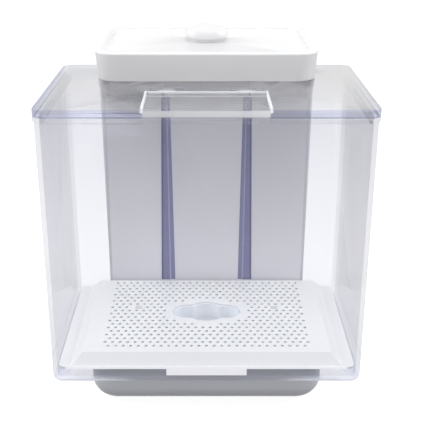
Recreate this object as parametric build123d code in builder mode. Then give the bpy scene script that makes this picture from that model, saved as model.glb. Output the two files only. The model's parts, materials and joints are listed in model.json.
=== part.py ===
from build123d import *
from math import sqrt
import os

# Betta aquarium: a clear tank with a clear lid on a white pedestal base, and a white
# rear filter tower under a white filter cover. Millimetres, +Z up, front faces -Y.
# The origin is on the surface the feet stand on, at the middle of the whole part.

# Driving dimensions: tank and lid
lid_width = 202.0
lid_depth = 131.0
tank_height = 176.3
tank_wall = 3.0
tank_floor = 4.0
tank_corner = 6.0
tank_side_draft = 0.7
tank_bottom_round = 5.0
rim_bead = 0.8
rim_bead_height = 2.7
tank_rear_setback = 2.8
lid_plate = 2.4
lid_skirt_height = 4.5
lid_skirt_wall = 2.2
lid_lip_drop = 4.5
lid_lip_wall = 1.8
lid_clearance = 0.4
lid_lean_allowance = 0.1
lid_seat_gap = 0.1

# Driving dimensions: feeding hatch and its hinge
hatch_width = 76.0
hatch_depth = 44.0
hatch_plate = 2.0
hatch_proud = 0.5
hatch_nose = 1.0
hatch_bar_height = 4.3
hatch_pull_width = 60.0
hatch_pull_drop = 3.4
hatch_pull_thickness = 0.7
hatch_gap = 0.4
hatch_rim_width = 2.2
hatch_rim_height = 0.9
hatch_seat_gap = 0.1
hatch_ledge = 1.2
grip_ridges = 3
grip_ridge_pitch = 4.6
grip_ridge_width = 1.2
grip_ridge_height = 0.6
grip_first_ridge = 8.0
hinge_spread = 49.4
hinge_length = 20.4
hinge_knuckle_length = 10.6
hinge_side_gap = 0.3
hinge_barrel_radius = 1.7
hinge_pin_radius = 0.8
hinge_pin_clearance = 0.08
hinge_axis_rise = 1.9

# Driving dimensions: pedestal base
base_side_margin = 1.7
base_front_setback = 18.0
base_height = 26.4
base_wall = 2.4
base_corner = 18.0
base_lower_round = 13.0
base_top_round = 1.0
base_rear_margin = 1.3
base_cover_thickness = 2.4
base_cover_inset = 20.0
base_cover_clearance = 0.4
foot_radius = 8.0
foot_proud = 1.5
foot_socket = 1.2
foot_spacing_x = 84.0
foot_spacing_y = 104.0
pad_thickness = 1.0
pad_proud = 0.2
pad_inset = 12.0
pad_rear_margin = 6.0

# Driving dimensions: filter tower
tower_width_top = 152.6
tower_side_draft = 1.7
tower_depth = 59.5
tower_wall = 2.5
tower_corner = 16.0
tower_top_gap = 0.4
deck_thickness = 2.0
deck_opening_width = 124.0
deck_opening_front = 6.0
deck_opening_depth = 44.0
seal_thickness = 1.2
seal_width = 1.8
seal_end_gap = 1.0
chamber_depth = 33.0
panel_thickness = 2.0
chamber_floor_drop = 13.1
chamber_floor_thickness = 2.0
floor_rail_inset = 3.0
tower_front_wall = 2.0
partition_slit_gap = 0.1
partition_outer_top = 32.5
partition_outer_bottom = 34.8
partition_inner_top = 28.8
partition_inner_bottom = 27.9
partition_fin_top = 2.3
partition_fin_bottom = 3.6
partition_fin_recess = 0.8
partition_fin_depth = 5.0
partition_top_drop = 23.0
weir_inner_edge = 30.5
weir_outer_edge = 72.0
weir_drop = 22.7
fit_gap = 0.3

# Driving dimensions: pump well, pump and riser
well_width = 74.0
well_depth = 44.0
well_wall = 2.0
pump_width = 42.0
pump_depth = 34.0
pump_height = 19.0
pump_corner = 5.0
pump_wall = 2.0
pump_rear_gap = 1.0
pump_foot_radius = 3.0
pump_foot_height = 1.4
pump_foot_margin = 1.0
rotor_radius = 7.0
rotor_clearance = 0.8
rotor_shift = 5.0
rotor_floor_height = 5.0
magnet_floor_gap = 0.5
magnet_step = 1.0
coil_width = 8.0
coil_depth = 20.0
coil_height = 12.0
coil_margin = 1.5
impeller_height = 4.0
impeller_blades = 6
impeller_blade_width = 1.0
impeller_blade_margin = 0.2
impeller_top_gap = 0.5
magnet_height = 7.0
shaft_radius = 1.0
shaft_clearance = 0.06
riser_radius = 4.0
riser_bore = 2.9
riser_fit = 0.3
riser_rise = 2.0
inlet_notches = 5
inlet_notch_width = 6.0
inlet_notch_depth = 1.8
inlet_notch_pitch = 9.0
cover_slots = 3
cover_slot_length = 8.0
cover_slot_width = 1.6
cover_slot_pitch = 3.4
gland_radius = 4.5
gland_flange = 6.5

# Driving dimensions: perforated tray and waste cup
tray_height = 16.9
tray_foot_height = 8.6
tray_skin = 2.2
tray_side_gap = 0.6
tray_front_gap = 0.6
tray_rear_gap = 0.8
tray_ledge = 6.1
tray_side_slope = 8.4
tray_front_slope = 7.6
tray_rear_slope = 4.9
tray_rim_thickness = 1.6
tray_rim_corner = 4.5
hole_radius = 1.3
hole_pitch = 5.0
hole_rows = 20
hole_columns = 27
hole_first_row = 20.1
cloud_y = 69.0
cloud_centre_radius = 14.6
cloud_side_radius = 10.4
cloud_side_spread = 27.2
cloud_round = 1.5
cloud_margin = 5.9
leg_spread = 97.0
leg_y = 74.5
leg_head = 4.8
leg_stem = 3.0
leg_land = 0.3
tab_width = 52.0
tab_thickness = 2.0
cup_clearance = 0.5
cup_wall = 1.4
cup_rim_drop = 0.6

# Driving dimensions: filter cover, knob and filter tray
cover_width_top = 147.0
cover_width_bottom = 144.4
cover_front = 74.8
cover_depth = 110.2
cover_height = 18.5
cover_wall = 2.2
cover_corner = 15.5
cover_edge_round = 1.2
cover_rim = 6.0
cover_recess = 1.0
knob_radius = 14.8
knob_neck_radius = 12.4
knob_neck_height = 4.0
knob_half_height = 6.8
knob_height = 11.4
knob_back_shift = 1.5
knob_screw_radius = 1.5
knob_screw_head = 3.2
knob_screw_head_height = 1.8
knob_screw_depth = 6.0
knob_bore_spare = 0.5
filter_tray_height = 12.5
filter_tray_wall = 1.8
filter_tray_gap = 0.5
outlet_slots = 4
outlet_slot_length = 22.0
outlet_slot_width = 5.0
outlet_slot_pitch = 30.0
outlet_y = 92.0
sponge_height = 7.0
sponge_gap = 0.5
gasket_thickness = 1.0

# Driving dimensions: screws
screw_radius = 1.4
screw_head_radius = 2.7
screw_head_height = 1.6
screw_length = 8.0
screw_hole_gap = 0.2
thread_gap = 0.05
cover_screw_spacing_x = 104.0
cover_screw_spacing_y = 112.0
tower_screw_spacing_x = 124.0
tower_screw_spacing_y = 42.0
boss_radius = 3.4
tower_boss_height = 4.0

# Heights worked out from those above
base_bottom = foot_proud
base_top = base_bottom + base_height
tank_bottom = base_top + pad_proud
rim_top = tank_bottom + tank_height
lid_top = rim_top + lid_skirt_height + lid_seat_gap
floor_top = tank_bottom + tank_floor
tray_top = tank_bottom + tray_height
tray_foot = tank_bottom + tray_foot_height
tower_top = lid_top - tower_top_gap
chamber_floor_top = tank_bottom + chamber_floor_drop
cover_top = lid_top + cover_height
panel_top = cover_top - cover_recess

# Depths worked out from those above: lid_front is the front face of the lid
tank_width = lid_width - 2 * rim_bead
tank_depth = lid_depth - rim_bead - tank_rear_setback
tray_foot_front = rim_bead + tank_wall + tray_front_gap
tray_foot_back = rim_bead + tank_depth - tank_wall - tray_rear_gap
tray_top_front = tray_foot_front + tray_front_slope
tray_top_back = tray_foot_back - tray_rear_slope
reach = lid_depth - tank_rear_setback + seal_thickness + tower_depth + base_rear_margin
lid_front = hatch_nose - (hatch_nose + reach) / 2
tank_front = lid_front + rim_bead
tank_back = tank_front + tank_depth
inner_top_width = tank_width - 2 * tank_wall
inner_floor_width = inner_top_width - 2 * tank_side_draft
tray_rim_width = inner_floor_width - 2 * tray_side_gap
tray_foot_width = tray_rim_width - 2 * tray_ledge
tray_top_width = tray_foot_width - 2 * tray_side_slope
tower_front = tank_back + seal_thickness
tower_back = tower_front + tower_depth
tower_width_bottom = tower_width_top - 2 * tower_side_draft
base_width = tower_width_top + 2 * base_side_margin
tower_inner_front = tower_front + tower_front_wall
base_front = lid_front + base_front_setback
base_back = tower_back + base_rear_margin
lid_y = lid_front + lid_depth / 2
tank_y = tank_front + tank_depth / 2
cover_y = lid_front + cover_front + cover_depth / 2
riser_y = tower_front + chamber_depth + panel_thickness + riser_radius + riser_fit

from_base = (Align.CENTER, Align.CENTER, Align.MIN)
from_top = (Align.CENTER, Align.CENTER, Align.MAX)
from_front_base = (Align.CENTER, Align.MIN, Align.MIN)


def rounded(width, depth, corner, y):
    """A rectangle with round corners, centred on x = 0 and on the given depth."""
    with Locations((0, y)):
        RectangleRounded(width, depth, corner)


def write(piece, name):
    """Labels a finished piece and writes it as its own STEP file."""
    piece.part.label = name
    export_step(piece.part, f"parts/{name}.step")


os.makedirs("parts", exist_ok=True)

# Clear tank: an open box whose sides lean out a little, with a bead round its rim
# and two overflow weirs cut into its rear wall
inner_depth = tank_depth - 2 * tank_wall
inner_corner = tank_corner - tank_wall
weir_width = weir_outer_edge - weir_inner_edge
weir_x = (weir_outer_edge + weir_inner_edge) / 2
weir_low = lid_top - weir_drop
with BuildPart() as tank_shell:
    with BuildSketch(Plane.XY.offset(tank_bottom)):
        rounded(tank_width - 2 * tank_side_draft, tank_depth, tank_corner, tank_y)
    with BuildSketch(Plane.XY.offset(rim_top)):
        rounded(tank_width, tank_depth, tank_corner, tank_y)
    loft()
    fillet(tank_shell.faces().sort_by(Axis.Z)[0].edges(), tank_bottom_round)
    with BuildSketch(Plane.XY.offset(rim_top - rim_bead_height)):
        rounded(lid_width, tank_depth + 2 * rim_bead, tank_corner + rim_bead, tank_y)
    extrude(amount=rim_bead_height)
    with BuildSketch(Plane.XY.offset(floor_top)):
        rounded(inner_floor_width, inner_depth, inner_corner, tank_y)
    with BuildSketch(Plane.XY.offset(rim_top)):
        rounded(inner_top_width, inner_depth, inner_corner, tank_y)
    loft(mode=Mode.SUBTRACT)
    with Locations(
        (-weir_x, tank_back - tank_wall / 2, rim_top),
        (weir_x, tank_back - tank_wall / 2, rim_top),
    ):
        Box(
            weir_width,
            tank_wall + 4 * rim_bead,
            2 * (weir_drop - (lid_top - rim_top)),
            mode=Mode.SUBTRACT,
        )
write(tank_shell, "tank_shell")

# Perforated tray: a low table with sloping sides over the tank floor
cloud_circles = [
    (0, cloud_centre_radius),
    (-cloud_side_spread / 2, cloud_side_radius),
    (cloud_side_spread / 2, cloud_side_radius),
]


def cloud(shrink):
    """The cloud outline of the waste opening, drawn in by the given amount."""
    for x, radius in cloud_circles:
        with Locations((x, lid_front + cloud_y)):
            Circle(radius - shrink)


def clear_of_cloud(x, y):
    """True where a hole at x, y leaves the plain margin round the waste opening."""
    dy = y - lid_front - cloud_y
    return all(
        (x - cx) ** 2 + dy**2 > (radius + cloud_margin) ** 2
        for cx, radius in cloud_circles
    )


def clear_of_legs(x, y):
    """True where a hole at x, y misses the heads of the two legs."""
    dx = abs(x) - leg_spread / 2
    dy = y - lid_front - leg_y
    keep_out = leg_head / 2 + hole_radius + leg_land
    return abs(dx) > keep_out or abs(dy) > keep_out


holes = []
for row in range(hole_rows):
    columns = hole_columns + row % 2
    y = lid_front + hole_first_row + row * hole_pitch
    for column in range(columns):
        x = (column - (columns - 1) / 2) * hole_pitch
        if clear_of_cloud(x, y) and clear_of_legs(x, y):
            holes.append((x, y))
print("tray holes", len(holes))

leg_places = [(side * leg_spread / 2, lid_front + leg_y) for side in (-1, 1)]


def frustum(inset, drop):
    """Foot and top sections of the tray's sloping block, drawn in and lowered."""
    foot_depth = tray_foot_back - tray_foot_front
    top_depth = tray_top_back - tray_top_front
    foot_y = lid_front + (tray_foot_back + tray_foot_front) / 2
    top_y = lid_front + (tray_top_back + tray_top_front) / 2
    with BuildSketch(Plane.XY.offset(tray_foot)) as foot_section:
        with Locations((0, foot_y)):
            Rectangle(tray_foot_width - 2 * inset, foot_depth - 2 * inset)
    with BuildSketch(Plane.XY.offset(tray_top - drop)) as top_section:
        with Locations((0, top_y)):
            Rectangle(tray_top_width - 2 * inset, top_depth - 2 * inset)
    return [foot_section.sketch, top_section.sketch]


rim_y = lid_front + (tray_foot_back + tray_foot_front) / 2
with BuildPart() as tray:
    loft(frustum(0, 0))
    with BuildSketch(Plane.XY.offset(tray_foot)):
        rounded(tray_rim_width, tray_foot_back - tray_foot_front, tray_rim_corner, rim_y)
    extrude(amount=tray_rim_thickness)
    with Locations((0, lid_front + tray_foot_front + tab_thickness / 2, floor_top)):
        Box(
            tab_width,
            tab_thickness,
            tray_foot - floor_top + tray_rim_thickness,
            align=from_base,
        )
    loft(frustum(tray_skin, tray_skin), mode=Mode.SUBTRACT)
    with BuildSketch(Plane.XY.offset(tray_top - tray_skin)):
        with Locations(*holes):
            Circle(hole_radius)
        with Locations(*leg_places):
            Rectangle(leg_stem, leg_stem)
    extrude(amount=2 * tray_skin, mode=Mode.SUBTRACT)
    with BuildSketch(Plane.XY.offset(tray_top - leg_head / 4)):
        with Locations(*leg_places):
            Rectangle(leg_head, leg_head)
    extrude(amount=tray_skin, mode=Mode.SUBTRACT)
    with BuildSketch(Plane.XY.offset(tray_top - 2 * tray_skin)) as opening:
        cloud(0)
        fillet(opening.vertices(), cloud_round)
    extrude(amount=4 * tray_skin, mode=Mode.SUBTRACT)
write(tray, "tray")

# Tray legs: two posts pushed down through the plate, with square heads
with BuildPart() as tray_legs:
    with BuildSketch(Plane.XY.offset(floor_top)):
        with Locations(*leg_places):
            Rectangle(leg_stem, leg_stem)
    extrude(amount=tray_top - leg_head / 4 - floor_top)
    with BuildSketch(Plane.XY.offset(tray_top - leg_head / 4)):
        with Locations(*leg_places):
            Rectangle(leg_head, leg_head)
    extrude(amount=leg_head / 4)
write(tray_legs, "tray_legs")

# Waste cup: a cloud-shaped cup that stands on the floor inside the tray's opening
with BuildPart() as waste_cup:
    with BuildSketch(Plane.XY.offset(floor_top)) as cup_outer:
        cloud(cup_clearance)
        fillet(cup_outer.vertices(), cloud_round)
    extrude(amount=tray_height - tank_floor - cup_rim_drop)
    with BuildSketch(Plane.XY.offset(floor_top + cup_wall)) as cup_inner:
        cloud(cup_clearance + cup_wall)
        fillet(cup_inner.vertices(), cloud_round)
    extrude(amount=tray_height, mode=Mode.SUBTRACT)
write(waste_cup, "waste_cup")

# Clear lid: a plate with a skirt outside, a locating lip inside the tank, a notch at
# the front for the feeding hatch and slots under the filter tray
notch_width = hatch_width - 2 * hatch_ledge
hinge_y = lid_front + hatch_depth + hatch_gap + hinge_barrel_radius
hinge_z = lid_top + hinge_axis_rise
outlet_places = [
    ((number - (outlet_slots - 1) / 2) * outlet_slot_pitch, lid_front + outlet_y)
    for number in range(outlet_slots)
]
hinge_places = [-hinge_spread / 2, hinge_spread / 2]
ear_length = (hinge_length - hinge_knuckle_length) / 2 - hinge_side_gap
ear_places = [
    (x + side * (hinge_length - ear_length) / 2, hinge_y)
    for x in hinge_places
    for side in (-1, 1)
]
lip_width = inner_top_width - 2 * lid_lean_allowance - 2 * lid_clearance
lip_depth = inner_depth - 2 * lid_clearance
lip_corner = inner_corner - lid_clearance


def x_cylinder(length, radius, places, mode=Mode.ADD):
    """Cylinders along X on the hatch's hinge line."""
    with Locations(*[(x, hinge_y, hinge_z) for x in places]):
        Cylinder(radius, length, rotation=(0, 90, 0), mode=mode)


with BuildPart() as lid:
    with BuildSketch(Plane.XY.offset(lid_top - lid_skirt_height)):
        rounded(lid_width, lid_depth, tank_corner + rim_bead, lid_y)
    extrude(amount=lid_skirt_height)
    with BuildSketch(Plane.XY.offset(lid_top - lid_skirt_height)):
        rounded(
            lid_width - 2 * lid_skirt_wall,
            lid_depth - 2 * lid_skirt_wall,
            tank_corner + rim_bead - lid_skirt_wall,
            lid_y,
        )
    extrude(amount=lid_skirt_height - lid_plate, mode=Mode.SUBTRACT)
    with BuildSketch(Plane.XY.offset(lid_top - lid_skirt_height - lid_lip_drop)):
        rounded(lip_width, lip_depth, lip_corner, tank_y)
        offset(amount=-lid_lip_wall, kind=Kind.INTERSECTION, mode=Mode.SUBTRACT)
    extrude(amount=lid_lip_drop + lid_skirt_height - lid_plate)
    with BuildSketch(Plane.XY.offset(lid_top - lid_skirt_height - 2 * lid_lip_drop)):
        with Locations((0, lid_front)):
            Rectangle(notch_width, 2 * (hatch_depth - hatch_ledge))
    extrude(amount=lid_skirt_height + 3 * lid_lip_drop, mode=Mode.SUBTRACT)
    with BuildSketch(Plane.XY.offset(lid_top + hatch_proud - hatch_plate - hatch_seat_gap)):
        with Locations((0, lid_front)):
            Rectangle(hatch_width + 2 * hatch_gap, 2 * (hatch_depth + hatch_gap))
    extrude(amount=lid_plate, mode=Mode.SUBTRACT)
    with BuildSketch(Plane.XY.offset(lid_top - lid_plate)):
        with Locations(*outlet_places):
            SlotOverall(outlet_slot_length, outlet_slot_width)
    extrude(amount=2 * lid_plate, mode=Mode.SUBTRACT)
    with Locations(*[(x, hinge_y, lid_top - lid_plate / 2) for x in hinge_places]):
        Box(
            hinge_knuckle_length + 2 * hinge_side_gap,
            2 * (hinge_barrel_radius + hatch_gap),
            2 * lid_plate,
            mode=Mode.SUBTRACT,
        )
    with Locations(*[(x, y, lid_top - hatch_plate / 2) for x, y in ear_places]):
        Box(
            ear_length,
            2 * hinge_barrel_radius,
            hinge_axis_rise + hatch_plate / 2,
            align=from_base,
        )
    x_cylinder(ear_length, hinge_barrel_radius, [x for x, _ in ear_places])
    x_cylinder(hinge_length + 2, hinge_pin_radius, hinge_places, Mode.SUBTRACT)
write(lid, "lid")

# Hinge pins: two short rods held in the lid's ears
with BuildPart() as hinge_pins:
    x_cylinder(hinge_length, hinge_pin_radius, hinge_places)
write(hinge_pins, "hinge_pins")

# Feeding hatch: a plate flush in the lid, with a bar over the front edge, a finger
# pull under it, grip ridges and two hinge knuckles at the back
with BuildPart() as feed_hatch:
    hatch_low = lid_top + hatch_proud - hatch_plate
    with BuildSketch(Plane.XY.offset(hatch_low)):
        with Locations((0, lid_front + hatch_depth / 2)):
            Rectangle(hatch_width, hatch_depth)
    extrude(amount=hatch_plate)
    with BuildSketch(Plane.XY.offset(lid_top + hatch_proud)):
        with Locations((0, lid_front + hatch_depth / 2)):
            Rectangle(hatch_width, hatch_depth)
            Rectangle(
                hatch_width - 2 * hatch_rim_width,
                hatch_depth - 2 * hatch_rim_width,
                mode=Mode.SUBTRACT,
            )
    extrude(amount=hatch_rim_height)
    with BuildSketch(Plane.XY.offset(lid_top + hatch_proud - hatch_bar_height)):
        with Locations((0, lid_front + lid_skirt_wall / 2 - hatch_nose / 2)):
            Rectangle(notch_width - 2 * hatch_gap, lid_skirt_wall + hatch_nose)
    extrude(amount=hatch_bar_height)
    with BuildSketch(Plane.XZ.offset(-lid_front + hatch_nose)):
        pull_top = lid_top + hatch_proud - hatch_bar_height
        with BuildLine():
            Polyline(
                (-notch_width / 2 + hatch_gap, pull_top),
                (-hatch_pull_width / 2, pull_top - hatch_pull_drop),
                (hatch_pull_width / 2, pull_top - hatch_pull_drop),
                (notch_width / 2 - hatch_gap, pull_top),
                close=True,
            )
        make_face()
    extrude(amount=-hatch_pull_thickness)
    with Locations(
        *[
            (0, lid_front + grip_first_ridge + n * grip_ridge_pitch, lid_top + hatch_proud)
            for n in range(grip_ridges)
        ]
    ):
        Box(
            hatch_width - 2 * hatch_rim_width - 2 * hatch_gap,
            grip_ridge_width,
            grip_ridge_height,
            align=from_base,
        )
    with Locations(
        *[(x, hinge_y - hinge_barrel_radius, hatch_low) for x in hinge_places]
    ):
        Box(
            hinge_knuckle_length,
            2 * hinge_barrel_radius,
            hinge_z - hatch_low,
            align=from_base,
        )
    x_cylinder(hinge_knuckle_length, hinge_barrel_radius, hinge_places)
    pin_bore = hinge_pin_radius + hinge_pin_clearance
    x_cylinder(hinge_length, pin_bore, hinge_places, Mode.SUBTRACT)
write(feed_hatch, "feed_hatch")

# Partitions: two clear plates, thicker at the foot, that part the three chambers.
# Each has a narrow fin beside its front edge, set back a little from the tank's wall
partition_top = lid_top - partition_top_drop


def wedge(side, outer, inner, front, back):
    """Foot and top sections of an upright slab, from its outer and inner edges."""
    sections = []
    for level, outer_edge, inner_edge in zip((chamber_floor_top, partition_top), outer, inner):
        with BuildSketch(Plane.XY.offset(level)) as section:
            with Locations((side * (outer_edge + inner_edge) / 2, (front + back) / 2)):
                Rectangle(outer_edge - inner_edge, back - front)
        sections.append(section.sketch)
    return sections


partition_outer = (partition_outer_bottom, partition_outer_top)
partition_inner = (partition_inner_bottom, partition_inner_top)
fin_inner = (
    partition_inner_bottom - partition_fin_bottom,
    partition_inner_top - partition_fin_top,
)


def partition(side):
    """One clear plate from the tank's rear wall to the back panel, with its fin."""
    fin_front = tower_front + partition_fin_recess
    fin_back = fin_front + partition_fin_depth
    with BuildPart() as plate:
        loft(
            wedge(
                side,
                partition_outer,
                partition_inner,
                tower_front,
                tower_front + chamber_depth - fit_gap,
            )
        )
        loft(wedge(side, partition_outer, fin_inner, fin_front, fin_back))
    return plate


left_partition = partition(-1)
write(left_partition, "left_partition")
right_partition = partition(1)
write(right_partition, "right_partition")

# Filter tower: a white box whose front wall stands against the tank's rear wall, slit
# for the partitions and cut down at the weirs, with a pump well below it
well_bottom = base_bottom + base_cover_thickness + fit_gap
base_inner_round = base_lower_round - base_wall
round_rise = base_bottom + base_lower_round - well_bottom
round_reach = sqrt(base_inner_round**2 - round_rise**2)
well_back = base_back - base_lower_round + round_reach - fit_gap
well_y = well_back - well_depth / 2
tower_mid_y = (tower_front + tower_back) / 2
tower_bottom = base_top + fit_gap
tower_screws_at = [
    (x * tower_screw_spacing_x / 2, tower_mid_y + y * tower_screw_spacing_y / 2)
    for x in (-1, 1)
    for y in (-1, 1)
]


def tower_outline(width, setback, height, front=tower_front):
    """The tower's section at a height: square at the front and round at the rear."""
    half = width / 2
    back = tower_back - setback
    radius = tower_corner - setback
    with BuildSketch(Plane.XY.offset(height)) as outline:
        with BuildLine():
            Polyline((-half, back - radius), (-half, front), (half, front))
            Line((half, front), (half, back - radius))
            RadiusArc((half, back - radius), (half - radius, back), -radius)
            Line((half - radius, back), (radius - half, back))
            RadiusArc((radius - half, back), (-half, back - radius), -radius)
        make_face()
    return outline.sketch


with BuildPart() as tower_shell:
    loft(
        [
            tower_outline(tower_width_bottom, 0, tower_bottom),
            tower_outline(tower_width_top, 0, tower_top),
        ]
    )
    loft(
        [
            tower_outline(
                tower_width_bottom - 2 * tower_wall,
                tower_wall,
                tower_bottom + tower_wall,
                tower_inner_front,
            ),
            tower_outline(
                tower_width_top - 2 * tower_wall,
                tower_wall,
                tower_top - deck_thickness,
                tower_inner_front,
            ),
        ],
        mode=Mode.SUBTRACT,
    )
    for side in (-1, 1):
        loft(
            wedge(
                side,
                [edge + partition_slit_gap for edge in partition_outer],
                [edge - partition_slit_gap for edge in fin_inner],
                tower_front - tower_front_wall,
                tower_inner_front,
            ),
            mode=Mode.SUBTRACT,
        )
    with Locations((-weir_x, tower_front, weir_low), (weir_x, tower_front, weir_low)):
        Box(
            weir_width,
            2 * tower_front_wall,
            2 * weir_drop,
            align=from_base,
            mode=Mode.SUBTRACT,
        )
    with BuildSketch(Plane.XY.offset(tower_top - 2 * deck_thickness)):
        with Locations((0, tower_front + deck_opening_front + deck_opening_depth / 2)):
            RectangleRounded(
                deck_opening_width, deck_opening_depth, tower_corner - tower_wall
            )
    extrude(amount=4 * deck_thickness, mode=Mode.SUBTRACT)
    with BuildSketch(Plane.XY.offset(well_bottom)):
        with Locations((0, well_y)):
            Rectangle(well_width, well_depth)
    extrude(amount=tower_bottom - well_bottom + tower_wall)
    with BuildSketch(Plane.XY.offset(well_bottom + well_wall)):
        with Locations((0, well_y)):
            Rectangle(well_width - 2 * well_wall, well_depth - 2 * well_wall)
    extrude(amount=tower_bottom, mode=Mode.SUBTRACT)
    with Locations(*[(x, y, tower_bottom) for x, y in tower_screws_at]):
        Cylinder(
            boss_radius,
            tower_wall + tower_boss_height,
            align=from_base,
        )
        Cylinder(
            screw_radius + thread_gap,
            2 * (tower_wall + tower_boss_height),
            mode=Mode.SUBTRACT,
        )
    lid_back = lid_front + lid_depth
    with Locations((0, tower_front, rim_top)):
        Box(
            2 * tower_width_top,
            2 * (lid_back + lid_clearance - tower_front),
            2 * lid_skirt_height,
            align=from_base,
            mode=Mode.SUBTRACT,
        )
    gland_z = tower_bottom + tower_wall + 2 * gland_flange
    with Locations((0, tower_back, gland_z)):
        Cylinder(gland_radius, 4 * tower_wall, rotation=(90, 0, 0), mode=Mode.SUBTRACT)
write(tower_shell, "tower_shell")

# Tower seal: two silicone beads between the tank's rear wall and the tower's sides
seal_bottom = tank_bottom + tank_bottom_round + seal_end_gap
seal_height = rim_top - rim_bead_height - seal_end_gap - seal_bottom
with BuildPart() as tower_seal:
    with Locations(
        (seal_width / 2 - tower_width_bottom / 2, tank_back, seal_bottom),
        (tower_width_bottom / 2 - seal_width / 2, tank_back, seal_bottom),
    ):
        Box(
            seal_width,
            seal_thickness,
            seal_height,
            align=from_front_base,
        )
write(tower_seal, "tower_seal")

# Chamber floor: a plate on the tower's ledge with the pump inlet's slots in it
chamber_width = tower_width_bottom - 2 * tower_wall - 2 * fit_gap
panel_y = tower_front + chamber_depth + panel_thickness / 2
floor_front = tower_inner_front + fit_gap
floor_back = tower_front + chamber_depth
floor_depth = floor_back - floor_front
floor_y = (floor_front + floor_back) / 2
with BuildPart() as chamber_floor:
    chamber_floor_low = chamber_floor_top - chamber_floor_thickness
    with BuildSketch(Plane.XY.offset(chamber_floor_low)):
        with Locations((0, floor_y)):
            Rectangle(chamber_width, floor_depth)
        with Locations((0, floor_front)):
            with GridLocations(inlet_notch_pitch, 0, inlet_notches, 1):
                Rectangle(inlet_notch_width, 2 * inlet_notch_depth, mode=Mode.SUBTRACT)
    extrude(amount=chamber_floor_thickness)
    with Locations(
        (floor_rail_inset - chamber_width / 2, floor_y, chamber_floor_low),
        (chamber_width / 2 - floor_rail_inset, floor_y, chamber_floor_low),
    ):
        Box(
            tower_wall,
            floor_depth,
            chamber_floor_low - tower_bottom - tower_wall,
            align=from_top,
        )
write(chamber_floor, "chamber_floor")

# Back panel: closes the chambers off from the riser duct behind them
with BuildPart() as back_panel:
    panel_top_width = tower_width_top - 2 * tower_wall - 2 * fit_gap
    with BuildSketch(Plane.XY.offset(tower_bottom + tower_wall)):
        with Locations((0, panel_y)):
            Rectangle(chamber_width, panel_thickness)
    with BuildSketch(Plane.XY.offset(tower_top - deck_thickness - fit_gap)):
        with Locations((0, panel_y)):
            Rectangle(panel_top_width, panel_thickness)
    loft()
    with Locations((0, panel_y, tower_bottom + tower_wall)):
        Box(
            2 * riser_radius,
            2 * panel_thickness,
            2 * (chamber_floor_low - tower_bottom - tower_wall),
            mode=Mode.SUBTRACT,
        )
write(back_panel, "back_panel")


# Pump: a housing with a round rotor chamber, lying in the well under the tower
pump_y = well_y + well_depth / 2 - well_wall - pump_rear_gap - pump_depth / 2
rotor_y = pump_y - rotor_shift
pump_bottom = well_bottom + well_wall + pump_foot_height
pump_top = pump_bottom + pump_height
pump_rim = pump_top - pump_wall
rotor_bore = rotor_radius + rotor_clearance
rotor_floor = pump_bottom + rotor_floor_height
coil_x = rotor_bore + coil_margin + coil_width / 2
with BuildPart() as pump_body:
    with BuildSketch(Plane.XY.offset(pump_bottom)):
        rounded(pump_width, pump_depth, pump_corner, pump_y)
    extrude(amount=pump_height - pump_wall)
    with Locations((0, rotor_y, rotor_floor)):
        Cylinder(rotor_bore, pump_height, align=from_base, mode=Mode.SUBTRACT)
    with Locations((0, (rotor_y + riser_y) / 2, pump_rim)):
        Box(2 * riser_bore, riser_y - rotor_y, 2 * impeller_height, mode=Mode.SUBTRACT)
    with Locations((0, riser_y, pump_rim)):
        Cylinder(riser_bore, 2 * impeller_height, mode=Mode.SUBTRACT)
    with Locations((0, rotor_y, rotor_floor - pump_wall)):
        Cylinder(shaft_radius, pump_wall, align=from_base, mode=Mode.SUBTRACT)
    with Locations((-coil_x, rotor_y, pump_bottom), (coil_x, rotor_y, pump_bottom)):
        Box(coil_width, coil_depth, coil_height, align=from_base, mode=Mode.SUBTRACT)
write(pump_body, "pump_body")

# Pump coils: two potted windings in pockets beside the rotor
with BuildPart() as pump_coils:
    with Locations((-coil_x, rotor_y, pump_bottom), (coil_x, rotor_y, pump_bottom)):
        Box(coil_width, coil_depth, coil_height, align=from_base)
write(pump_coils, "pump_coils")

# Pump cover: the plate over the rotor, with inlet slots and the riser's hole
with BuildPart() as pump_cover:
    with BuildSketch(Plane.XY.offset(pump_rim)):
        rounded(pump_width, pump_depth, pump_corner, pump_y)
        with Locations((0, riser_y)):
            Circle(riser_radius, mode=Mode.SUBTRACT)
        with Locations((0, rotor_y)):
            with GridLocations(cover_slot_pitch, 0, cover_slots, 1):
                SlotOverall(
                    cover_slot_length, cover_slot_width, rotation=90, mode=Mode.SUBTRACT
                )
    extrude(amount=pump_wall)
write(pump_cover, "pump_cover")

# Pump feet: four rubber buttons that keep the pump's hum off the well
foot_x = pump_width / 2 - pump_corner - pump_foot_margin
foot_y = pump_depth / 2 - pump_corner
with BuildPart() as pump_feet:
    with Locations((0, pump_y, well_bottom + well_wall)):
        with GridLocations(2 * foot_x, 2 * foot_y, 2, 2):
            Cylinder(pump_foot_radius, pump_foot_height, align=from_base)
write(pump_feet, "pump_feet")

# Rotor shaft: a ceramic rod set in the housing's floor
with BuildPart() as rotor_shaft:
    with Locations((0, rotor_y, rotor_floor - pump_wall)):
        Cylinder(shaft_radius, pump_rim - rotor_floor + pump_wall, align=from_base)
write(rotor_shaft, "rotor_shaft")

# Rotor magnet: a sleeve that spins on the shaft
magnet_low = rotor_floor + magnet_floor_gap
shaft_bore = shaft_radius + shaft_clearance
with BuildPart() as rotor_magnet:
    with BuildSketch(Plane.XY.offset(magnet_low)):
        with Locations((0, rotor_y)):
            Circle(rotor_radius - magnet_step)
            Circle(shaft_bore, mode=Mode.SUBTRACT)
    extrude(amount=magnet_height)
write(rotor_magnet, "rotor_magnet")

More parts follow.
